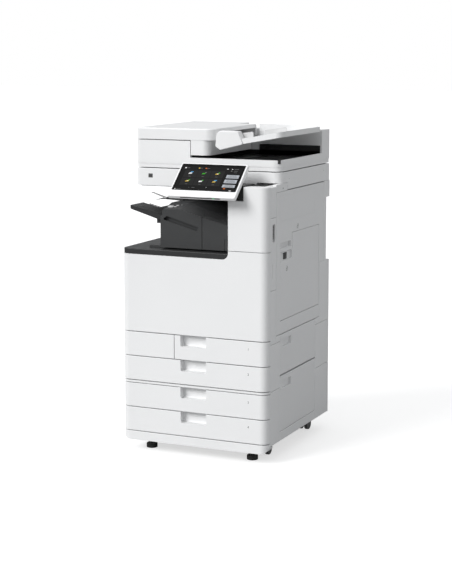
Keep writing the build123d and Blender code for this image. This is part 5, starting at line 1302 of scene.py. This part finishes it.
@dataclass
class Delivery(SubAssembly):
    """Delivery tray, inner stapling finisher and its stack tray.

    Attributes:
        keys: X, depth, width and height of each key on the hood.
        rib_pitch: Distance from rib to rib on the stack tray.
        rib_count: Number of ribs.
        rib_start: Depth of the first rib.
        lever_rise: Height of the lever's tip.
        lever_thick: Thickness of its arms.
        lever_tip: X of its tip.
        lever_root: X of its root.
        lever_depths: Depth of each of its two arms.
    """

    NODES: ClassVar[tuple[tuple[str, ...], ...]] = (
        ("deep_charcoal", "delivery_tray", "finisher_tray"),
        ("charcoal", "finisher_body", "staple_door"),
        ("key_grey", "staple_button"),
    )
    keys: tuple[tuple[float, float, float, float], ...] = (
        (-0.0925, 0.071, 0.0105, 0.0075), (-0.0965, 0.0595, 0.0105, 0.0075), (-0.0785, 0.0765, 0.0035, 0.0035),
    )
    rib_pitch: float = 0.0125
    rib_count: int = 9
    rib_start: float = 0.081
    lever_rise: float = 0.9215
    lever_thick: float = 0.0014
    lever_tip: float = -0.2450
    lever_root: float = -0.1880
    lever_depths: tuple[float, float] = (0.1795, 0.1685)

    def fit_keys(self, bench: Bench, front: float) -> None:
        """Puts the small keys on the hood.

        Args:
            bench: Where parts are made.
            front: Y of the drawer fronts.
        """
        for count, (x, depth, width, height) in enumerate(self.keys, start=1):
            place, normal = touch(bench.nodes["finisher_body"], (x, front + depth, 1.2), (0, 0, -1))
            bench.plates(
                f"hood_key_{count}", resting(place, normal), [oblong(0, 0, width, height, height / 2, 6)],
                0.0011, Trim("key_grey", "finisher", "button_grey"), soft=0.0005,
            )

    def rib(self, bench: Bench, front: float) -> None:
        """Puts the ribs on the stack tray.

        Args:
            bench: Where parts are made.
            front: Y of the drawer fronts.
        """
        low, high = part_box("finisher_tray")
        ends = [
            touch(bench.nodes["finisher_tray"], (x, front + self.rib_start, 1.2), (0, 0, -1))[0]
            for x in (low.x + 0.022, high.x - 0.016)
        ]
        run = (ends[1] - ends[0]).normalized()
        slope = Face(ends[0], run, Vector((0, 1, 0)))
        length = (ends[1] - ends[0]).length
        ribs = [
            oblong(length / 2, self.rib_pitch * i, length, 0.0045, 0.001) for i in range(self.rib_count)
        ]
        bench.plates(
            "stack_tray_ribs", slope, ribs, 0.0012,
            Trim("soot_black", "finisher_tray", "stack_tray_black"), soft=0.0004,
        )

    def hang_lever(self, bench: Bench, front: float) -> None:
        """Hangs the light paper lever over the stack tray.

        Args:
            bench: Where parts are made.
            front: Y of the drawer fronts.
        """
        mesh = bmesh.new()
        tip_x, root_x, rise = self.lever_tip, self.lever_root, self.lever_rise
        low = rise - self.lever_thick
        bar = [(tip_x, low), (root_x, 0.9005), (root_x, 0.9045), (tip_x, rise)]
        for depth in self.lever_depths:
            bench.prism(mesh, Side.FRONT.face((0.0, front + depth, 0.0)), bar, 0.0, 0.0016)
        wall = Side.FRONT.face((0.0, front + self.lever_depths[0], 0.0))
        tip = [(-0.2462, low), (-0.2435, rise - 0.0020), (-0.2435, rise - 0.0004), (-0.2462, rise + 0.0002)]
        bench.prism(mesh, wall, tip, 0.0, 0.0126)
        bench.fit("paper_lever", mesh, Trim("guide_grey", "finisher", "finisher_dark"))

    def add_parts(self, bench: Bench) -> None:
        """Builds the delivery space's looks.

        Args:
            bench: Where parts are made.
        """
        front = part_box("front_cover")[0].y
        self.fit_keys(bench, front)
        self.rib(bench, front)
        self.hang_lever(bench, front)


@dataclass
class Reader(SubAssembly):
    """Flatbed reader with its glass and moving carriage.

    Attributes:
        badge_place: X and height of the small square badge.
        badge_size: Its width and height.
        screw_spots: Depth and height of the screws on the right.
    """

    NODES: ClassVar[tuple[tuple[str, ...], ...]] = (
        ("reader_white", "reader_case"),
        ("platen_glass", "platen_glass"),
        ("soot_black", "scan_carriage"),
    )
    badge_place: tuple[float, float] = (-0.2245, 0.987)
    badge_size: tuple[float, float] = (0.017, 0.0145)
    screw_spots: tuple[tuple[float, float], ...] = ((0.1945, 0.988), (0.538, 0.991))

    def mark(self, bench: Bench) -> None:
        """Adds the badge, the screws and the lamp of the carriage.

        Args:
            bench: Where parts are made.
        """
        low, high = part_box("reader_case")
        wall = Side.FRONT.face((0.0, low.y, 0.0))
        (a, b), (width, height) = self.badge_place, self.badge_size
        bench.plates(
            "square_badge", wall, [oblong(a, b, width, height, 0.001)], 0.0003,
            Trim("badge_black", FRAME_NAME, "reader_white"),
        )
        cells = [oblong(a + 0.0042 * i, b + 0.0035 * j, 0.0026, 0.002) for i in (-1, 0, 1) for j in (-1, 1)]
        bench.plates("square_badge_cells", wall, cells, 0.0004, Trim("mark_grey", FRAME_NAME, "reader_white"))
        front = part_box("front_cover")[0].y
        side = Side.RIGHT.face((high.x - 0.0008, front, 0.0))
        bench.screws("reader_screws", side, self.screw_spots, "reader_white", radius=0.0026)
        low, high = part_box("scan_carriage")
        top = Side.TOP.face(((low.x + high.x) / 2, (low.y + high.y) / 2, high.z - 0.0002))
        bench.plates(
            "scan_lamp", top, [oblong(0.004, 0, 0.006, (high.y - low.y) * 0.86, 0.002)], 0.0006,
            Trim("scan_lamp", "scan_carriage", "carriage_black"),
        )

    def add_parts(self, bench: Bench) -> None:
        """Builds the reader's looks.

        Args:
            bench: Where parts are made.
        """
        self.mark(bench)


@dataclass
class Feeder(SubAssembly):
    """Document feeder on top of the reader.

    Attributes:
        well_left: X of the output well's left wall.
        well_right: From the feeder's right face to the well's right wall.
        well_front: From the feeder's front to the well's front wall.
        well_back: Depth of the well's rear wall.
        well_floor: Height of the well's floor.
        skin: Thickness of the black sheets that paint the well's shade.
        tray_left: X where the document tray above the well starts.
        back_rise: Height of the black sheet of painted shade behind the document tray.
    """

    NODES: ClassVar[tuple[tuple[str, ...], ...]] = (
        ("reader_white", "feeder_base", "feeder_top_cover", "document_tray"),
        ("guide_grey", "document_guide_front", "document_guide_rear"),
        ("feed_rubber", "feed_roller"),
        ("hinge_steel", "feeder_hinges"),
    )
    well_left: float = -0.0635
    well_right: float = 0.007
    well_front: float = 0.006
    well_back: float = 0.518
    well_floor: float = 1.044
    skin: float = 0.0006
    tray_left: float = 0.031
    back_rise: float = 0.040

    def line_well(self, bench: Bench) -> None:
        """Lays black sheets on the output well's floor and walls and behind the document tray: painted shade
        for the dark space under the tray.

        Args:
            bench: Where parts are made.
        """
        low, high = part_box("feeder_base")
        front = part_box("front_cover")[0].y
        x0, x1 = self.well_left, high.x - self.well_right
        y0, y1 = low.y + self.well_front, front + self.well_back
        mid_x, mid_y = (x0 + x1) / 2, (y0 + y1) / 2
        wide, deep = x1 - x0, y1 - y0
        # Painted shade: a black floor, black walls and a tall black sheet behind the document tray darken the
        # space under the tray.
        mesh = bmesh.new()
        top = Side.TOP.face((mid_x, mid_y, self.well_floor))
        bench.prism(mesh, top, oblong(0, 0, wide, deep), -0.0002, self.skin)
        for side, wall, run, rise in (
            (Side.LEFT, Vector((x1, mid_y, self.well_floor)), deep, 0.0118),
            (Side.RIGHT, Vector((x0, mid_y, self.well_floor)), deep, 0.0118),
            (Side.REAR, Vector((mid_x, y0, self.well_floor)), wide, 0.0118),
            (Side.FRONT, Vector((mid_x, y1, self.well_floor)), wide, 0.018),
        ):
            bench.prism(mesh, side.face(wall), oblong(0, rise / 2, run - 0.0002, rise), -0.0001, self.skin)
        run = x1 - self.tray_left
        tall = Side.FRONT.face((self.tray_left + run / 2, y1, self.well_floor))
        bench.prism(mesh, tall, oblong(0, self.back_rise / 2, run - 0.0002, self.back_rise), -0.0001, self.skin)
        bench.fit("output_well_painted_shade", mesh, Trim("soot_black", "feeder", "delivery_dark"))
        # The black ribs and the black cheek plate carry the same painted shade.
        ribs = [oblong(-wide / 2 + wide * (i + 1) / 7, 0, 0.003, deep * 0.82, 0.001) for i in range(6)]
        bench.plates(
            "output_well_ribs", Side.TOP.face((mid_x, mid_y, self.well_floor + self.skin)), ribs, 0.0015,
            Trim("soot_black", "feeder", "delivery_dark"), soft=0.0005,
        )
        block = Side.RIGHT.face((x0 - 0.003, mid_y - 0.02, 1.056))
        bench.plates(
            "output_well_cheek", block, [oblong(0, 0.018, deep - 0.06, 0.035)], 0.0004,
            Trim("soot_black", "feeder", "delivery_dark"),
        )

    def add_parts(self, bench: Bench) -> None:
        """Builds the feeder's looks.

        Args:
            bench: Where parts are made.
        """
        self.line_well(bench)


@dataclass
class Panel(SubAssembly):
    """Tilting touch panel on its arm. Places on it are a across and b up from its middle.

    Attributes:
        tilt: Slope of the panel from the horizontal, in degrees.
        glass_rise: Middle of the glass above the panel's middle.
        glass_thick: Thickness of the glass.
        edge: From the panel's middle to its lower edge.
        tile_width: Width of a menu tile.
        tile_height: Height of a menu tile.
        columns: Middle of each column of tiles.
        rows: Middle of each row of tiles.
        captions: Dim bars; across, up, width and height of each, as in the rows below.
        strips: Light strips on the right, with their corner radius.
        bright_marks: Small white marks.
        yellow_mark: The yellow mark.
        orange_marks: The orange marks.
    """

    NODES: ClassVar[tuple[tuple[str, ...], ...]] = (
        ("soot_black", "panel_arm"),
        ("bezel_white", "panel_housing"),
        ("screen_black", "panel_glass"),
    )
    tilt: float = 41.5
    glass_rise: float = 0.01075
    glass_thick: float = 0.002
    edge: float = 0.08
    tile_width: float = 0.0495
    tile_height: float = 0.0345
    columns: tuple[float, ...] = (-0.0755, -0.0245, 0.0265)
    rows: tuple[float, ...] = (0.0265, -0.0105)
    captions: tuple[tuple[float, ...], ...] = (
        (-0.091, 0.0541, 0.009, 0.002), (-0.0425, 0.0543, 0.008, 0.0018), (-0.0155, 0.0543, 0.010, 0.0018),
        (0.0915, 0.0537, 0.016, 0.0022), (0.0905, 0.0455, 0.014, 0.0018), (0.0745, 0.0455, 0.006, 0.0036),
        (0.0905, 0.0385, 0.011, 0.0016), (-0.0965, -0.0475, 0.018, 0.0022), (-0.0435, -0.038, 0.011, 0.0018),
        (-0.0595, -0.038, 0.002, 0.003),
    )
    strips: tuple[tuple[float, ...], ...] = (
        (0.0872, 0.0190, 0.047, 0.0155, 0.0008), (0.0865, -0.0035, 0.047, 0.0165, 0.0008),
        (0.0865, -0.0255, 0.047, 0.0130, 0.0008),
    )
    bright_marks: tuple[tuple[float, ...], ...] = (
        (-0.1025, 0.0541, 0.006, 0.0045), (-0.1095, -0.0472, 0.0035, 0.0035),
        (0.0985, -0.0473, 0.009, 0.003, 0.0014),
        (0.0056, -0.0353, 0.002, 0.002), (0.058, 0.0543, 0.005, 0.003), (0.0755, 0.0538, 0.004, 0.003),
    )
    yellow_mark: tuple[float, ...] = (-0.0505, 0.0544, 0.0055, 0.0045)
    orange_marks: tuple[tuple[float, ...], ...] = (
        (-0.0246, 0.0543, 0.0055, 0.0045), (0.0737, -0.0374, 0.0070, 0.0055, 0.001),
    )

    @property
    def face(self) -> Face:
        """Returns the panel's outer face."""
        turn = math.radians(self.tilt)
        up = Vector((0, math.cos(turn), math.sin(turn)))
        out = Vector((0, -math.sin(turn), math.cos(turn)))
        middle = mid("panel_glass") - up * self.glass_rise + out * (self.glass_thick / 2)
        return Face(middle, Vector((1, 0, 0)), up)

    def show(self, bench: Bench, name: str, outlines: Sequence[Outline], layer: int, finish: str) -> None:
        """Lights some shapes of the screen picture.

        Args:
            bench: Where parts are made.
            name: The piece's name.
            outlines: The shapes.
            layer: How many thin layers it lies above the glass.
            finish: The finish's name.
        """
        bench.plates(
            name, self.face, outlines, 0.00005 * layer, Trim(finish, "control_panel", "screen_glass"),
            sunk=0.0001,
        )

    def draw_icons(self, bench: Bench) -> None:
        """Draws plain folded-sheet pictures on the six tiles.

        Args:
            bench: Where parts are made.
        """
        upper = [(-0.0035, 0.0005), (0.0075, 0.0025), (0.0085, 0.0070), (-0.0015, 0.0060)]
        lower = [(-0.0080, -0.0055), (0.0035, -0.0045), (0.0060, 0.0010), (-0.0055, 0.0005)]
        corner = [(0.0025, 0.0010), (0.0090, 0.0020), (0.0080, 0.0055), (0.0030, 0.0050)]
        plans = (
            ("icon_blue", upper, "note_white", lower), ("note_dim", corner, "icon_green", lower),
            ("icon_green", corner, "icon_yellow", lower), ("icon_green", corner, "icon_yellow", lower),
            ("icon_green", corner, "note_white", lower), ("icon_blue", upper, "icon_yellow", lower),
        )
        count = 0
        for row in self.rows:
            for column in self.columns:
                back, back_shape, fore, fore_shape = plans[count]
                count += 1
                place = (column, row + 0.0045)
                self.show(bench, f"tile_{count}_back", [self.moved(back_shape, place)], 4, back)
                self.show(bench, f"tile_{count}_sheet", [self.moved(fore_shape, place)], 5, fore)
        inner = [(-0.0020, -0.0025), (0.0020, -0.0020), (0.0030, 0.0005), (-0.0010, 0.0003)]
        spots = [(self.columns[2], self.rows[0]), (self.columns[0], self.rows[1])]
        self.show(bench, "tile_notes", [self.moved(inner, (a, b + 0.0045)) for a, b in spots], 6, "note_white")

    @staticmethod
    def moved(outline: Outline, by: tuple[float, float]) -> Outline:
        """Returns the outline moved by (across, up)."""
        return [(a + by[0], b + by[1]) for a, b in outline]

    def draw_screen(self, bench: Bench) -> None:
        """Draws the menu: page, tiles, side strips and status marks, all without lettering.

        Args:
            bench: Where parts are made.
        """
        self.show(bench, "screen_page", [oblong(0.0, 0.0055, 0.226, 0.112, 0.001)], 1, "page_grey")
        tiles = [
            oblong(a, b, self.tile_width, self.tile_height, 0.0005) for b in self.rows for a in self.columns
        ]
        self.show(bench, "screen_tiles", tiles, 2, "tile_grey")
        names = [oblong(a, b - 0.0115, 0.009, 0.0016) for b in self.rows for a in self.columns]
        names += [oblong(*caption) for caption in self.captions]
        self.show(bench, "screen_captions", names, 4, "note_dim")
        self.show(bench, "screen_strips", [oblong(*strip) for strip in self.strips], 4, "strip_light")
        lines = [oblong(0.0870, 0.0190 - 0.0225 * i + 0.004 * j, 0.034 - 0.006 * j, 0.0014)
                 for i in range(3) for j in (-1, 0, 1)]
        self.show(bench, "screen_strip_lines", lines, 5, "note_dim")
        self.show(bench, "screen_status", [oblong(*mark) for mark in self.bright_marks], 4, "note_white")
        self.show(bench, "screen_mark_yellow", [oblong(*self.yellow_mark)], 4, "icon_yellow")
        self.show(bench, "screen_mark_orange", [oblong(*mark) for mark in self.orange_marks], 4, "icon_orange")

    def fit_edge(self, bench: Bench) -> None:
        """Adds the status slot with its lamp in the lower edge, and the ticks above it.

        Args:
            bench: Where parts are made.
        """
        top = self.face
        lip = Face(top.at(0.0, -self.edge, 0.0), top.across, top.out)
        bench.plates(
            "status_slot", lip, [oblong(-0.0045, -0.0068, 0.152, 0.0042, 0.002)], 0.0003,
            Trim("screen_black", "control_panel", "panel_white"),
        )
        bench.plates(
            "status_lamp", lip, [oblong(0.0465, -0.0068, 0.009, 0.0034, 0.0015)], 0.0005,
            Trim("lamp_green", "control_panel", "panel_white"),
        )
        ticks = [oblong(a, -0.068, 0.0045, 0.0014, 0.0006) for a in (-0.0567, -0.0049, 0.046)]
        bench.plates("touch_ticks", top, ticks, 0.0001, Trim("mark_grey", "control_panel", "panel_white"))

    def add_parts(self, bench: Bench) -> None:
        """Builds the panel's looks.

        Args:
            bench: Where parts are made.
        """
        self.draw_screen(bench)
        self.draw_icons(bench)
        self.fit_edge(bench)


@dataclass
class Engine(SubAssembly):
    """Working units behind the front cover and the right door.

    Attributes:
        pitch: Distance from one toner bottle to the next.
        colours: Their colours, from the left.
        cap_inset: From the bottles' front to the face of a cap.
        cap_profile: Radius and height pairs of a cap.
    """

    NODES: ClassVar[tuple[tuple[str, ...], ...]] = (
        ("soot_black", "laser_scanner"),
        ("drum_blue", "drum_units"),
        ("belt_film", "transfer_belt_unit"),
        ("toner_black", "toner_cartridges"),
        ("zinc_sheet", "fuser_unit", "power_supply"),
        ("roller_coat", "fuser_heat_roller"),
        ("press_rubber", "fuser_pressure_roller"),
    )
    pitch: float = 0.092
    colours: tuple[str, ...] = ("yellow", "magenta", "cyan", "black")
    cap_inset: float = 0.0065
    cap_profile: tuple[tuple[float, float], ...] = (
        (0.0169, -0.0140), (0.0176, -0.0135), (0.0176, -0.0006), (0.0166, 0.0006),
    )

    def add_parts(self, bench: Bench) -> None:
        """Puts a coloured cap on each toner bottle.

        Args:
            bench: Where parts are made.
        """
        low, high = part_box("toner_cartridges")
        middle, rise = (low.x + high.x) / 2, (low.z + high.z) / 2
        face = Side.FRONT.face((0.0, low.y + self.cap_inset, 0.0))
        for i, colour in enumerate(self.colours):
            centre = (middle + (i - 1.5) * self.pitch, rise)
            bench.lathe(
                f"toner_cap_{colour}", face, centre, list(self.cap_profile),
                Trim(f"toner_{colour}", FRAME_NAME, "toner_body"),
            )


@dataclass
class RunningGear(SubAssembly):
    """Levelling feet, casters and wheels.

    Attributes:
        collar_rise: Height of the middle of the grey collar on each foot.
        collar_proud: How far it stands out of the foot.
        collar_chamfer: Width of its chamfers.
        collar_height: Its full height.
        collar_land: Half the height of its straight band.
    """

    NODES: ClassVar[tuple[tuple[str, ...], ...]] = (
        ("foot_rubber", "levelling_feet"),
        ("caster_steel", "rear_caster_brackets", "front_caster_fork_left", "front_caster_fork_right"),
        ("tyre_grey", "front_wheel_left", "front_wheel_right"),
        ("tyre_grey", "rear_wheel_left", "rear_wheel_right"),
    )
    collar_rise: float = 0.026
    collar_proud: float = 0.0008
    collar_chamfer: float = 0.001
    collar_height: float = 0.004
    collar_land: float = 0.0012

    def add_parts(self, bench: Bench) -> None:
        """Puts a collar on each levelling foot.

        Args:
            bench: Where parts are made.
        """
        low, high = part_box("levelling_feet")
        radius = (high.y - low.y) / 2
        middle = (low.y + high.y) / 2
        for side, x in (("left", low.x + radius), ("right", high.x - radius)):
            rim = touch(bench.nodes["levelling_feet"], (x, -1.0, self.collar_rise), (0, 1, 0))[0]
            wide = middle - rim.y + self.collar_proud
            narrow, half = wide - self.collar_chamfer, self.collar_height / 2
            ring = [(narrow, -half), (wide, -self.collar_land), (wide, self.collar_land), (narrow, half)]
            bench.lathe(
                f"foot_collar_{side}", Side.TOP.face((0, 0, self.collar_rise)), (x, middle), ring,
                Trim("caster_steel", FRAME_NAME, "foot_black"),
            )


# ----------------------------------------------------------------------- studio


@dataclass(frozen=True)
class SoftLamp:
    """A very large soft lamp, far enough away to light everything evenly.

    Attributes:
        name: Its name.
        toward: Direction from the machine to the lamp.
        strength: Its strength.
        spread: How wide it looks, in degrees.
    """

    name: str
    toward: tuple[float, float, float]
    strength: float
    spread: float

    def build(self) -> None:
        """Hangs the lamp."""
        lamp = bpy.data.lights.new(self.name, "SUN")
        lamp.energy, lamp.angle = self.strength, math.radians(self.spread)
        stand = bpy.data.objects.new(self.name, lamp)
        stand.location = Vector(self.toward) * 4
        stand.rotation_mode = "QUATERNION"
        stand.rotation_quaternion = (-Vector(self.toward)).to_track_quat("-Z", "Y")
        bpy.context.scene.collection.objects.link(stand)


@dataclass
class Studio:
    """Pale floor, soft light and camera.

    Attributes:
        floor_half: Half the floor's length.
        floor_colour: Colour of the floor as it is seen.
        floor_glow: Light added to the seen floor, so that it fades into white.
        floor_bounce: Colour of the floor as it lights the machine.
        sky: Brightness of the surroundings as light.
        lamps: The soft lamps.
        camera_place: Where the camera stands.
        yaw: How far the camera looks left of straight ahead, in degrees.
        pitch: How far it looks down, in degrees.
        lens: Focal length, in millimetres.
        shift: Vertical shift of the lens.
    """

    floor_half: float = 40.0
    floor_colour: Colour = (0.5, 0.5, 0.5)
    floor_glow: float = 0.62
    floor_bounce: Colour = (0.34, 0.34, 0.34)
    sky: float = 0.6
    lamps: tuple[SoftLamp, ...] = (
        SoftLamp("key_lamp", (-0.45, -0.70, 0.55), 2.55, 30.0),
        SoftLamp("top_lamp", (0.0, -0.1, 1.0), 0.25, 60.0),
    )
    camera_place: tuple[float, float, float] = (2.2252, -4.9461, 1.4549)
    yaw: float = 24.299
    pitch: float = 7.285
    lens: float = 91.887
    shift: float = -0.0976

    def lay_floor(self) -> None:
        """Lays the floor."""
        mesh = bmesh.new()
        corners = [(-1, -1), (1, -1), (1, 1), (-1, 1)]
        mesh.faces.new([mesh.verts.new((x * self.floor_half, y * self.floor_half, 0.0)) for x, y in corners])
        data = bpy.data.meshes.new("floor")
        mesh.to_mesh(data)
        mesh.free()
        material = bpy.data.materials.new("pale_floor")
        material.use_nodes = True
        material.node_tree.nodes.clear()
        graph = Graph(material.node_tree)
        cloud = graph.noise(0.8, 3.0)
        light = (*self.floor_colour, 1.0)
        dim = (*(part * 0.985 for part in self.floor_colour), 1.0)
        seen = graph.add("ShaderNodeBsdfPrincipled", {
            "Base Color": graph.blend(graph.spread(cloud, 0.3, 0.7), light, dim), "Roughness": 0.95,
            "Emission Color": (1, 1, 1, 1), "Emission Strength": self.floor_glow,
        })
        felt = graph.add("ShaderNodeBsdfDiffuse", {"Color": (*self.floor_bounce, 1.0)})
        path = graph.add("ShaderNodeLightPath")
        mixed = graph.add("ShaderNodeMixShader", {
            0: path.outputs["Is Camera Ray"], 1: felt.outputs[0], 2: seen.outputs[0],
        })
        graph.add("ShaderNodeOutputMaterial", {"Surface": mixed.outputs[0]})
        data.materials.append(material)
        floor = bpy.data.objects.new("floor", data)
        bpy.context.scene.collection.objects.link(floor)

    def light(self) -> None:
        """Hangs the lamps and sets the surroundings."""
        world = bpy.data.worlds.new("studio")
        world.use_nodes = True
        world.node_tree.nodes.clear()
        graph = Graph(world.node_tree)
        seen = graph.add("ShaderNodeBackground", {"Color": (1, 1, 1, 1), "Strength": 1.0})
        felt = graph.add("ShaderNodeBackground", {"Color": (0.97, 0.985, 1, 1), "Strength": self.sky})
        path = graph.add("ShaderNodeLightPath")
        mixed = graph.add("ShaderNodeMixShader", {
            0: path.outputs["Is Camera Ray"], 1: felt.outputs[0], 2: seen.outputs[0],
        })
        graph.add("ShaderNodeOutputWorld", {"Surface": mixed.outputs[0]})
        bpy.context.scene.world = world
        for lamp in self.lamps:
            lamp.build()

    def aim(self) -> None:
        """Stands the camera where it sees the front and the right side."""
        camera = bpy.data.cameras.new("camera")
        camera.lens, camera.sensor_width, camera.sensor_fit = self.lens, 36.0, "AUTO"
        camera.shift_y = self.shift
        stand = bpy.data.objects.new("camera", camera)
        stand.location = self.camera_place
        stand.rotation_euler = (math.radians(90 - self.pitch), 0.0, math.radians(self.yaw))
        bpy.context.scene.collection.objects.link(stand)
        bpy.context.scene.camera = stand

    def build(self) -> None:
        """Builds the studio."""
        self.lay_floor()
        self.light()
        self.aim()
        bpy.context.scene.view_settings.view_transform = "Standard"


def clear_defaults(kept: set[str]) -> None:
    """Removes what a new file holds apart from the frame.

    Args:
        kept: Names of the objects that stay.
    """
    for thing in list(bpy.data.objects):
        if thing.name not in kept and not thing.name.startswith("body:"):
            bpy.data.objects.remove(thing)


def main() -> None:
    """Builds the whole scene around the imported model."""
    logging.basicConfig(level=logging.INFO, format="%(name)s: %(message)s")
    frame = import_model()
    clear_defaults({node.name for node in frame["nodes"].values()})
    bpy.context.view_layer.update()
    bench = Bench(Stock(EffectShelf()), frame["nodes"])
    Studio().build()
    for part in (
        Cabinet(), DrawerBank(), Doors(), Delivery(), Reader(), Feeder(), Panel(), Engine(), RunningGear(),
    ):
        part.build(bench)
        LOG.info("%s is built", type(part).__name__)
    LOG.info("%d small parts fitted", bench.pieces)
    bpy.context.view_layer.update()


if __name__ == "__main__":
    main()
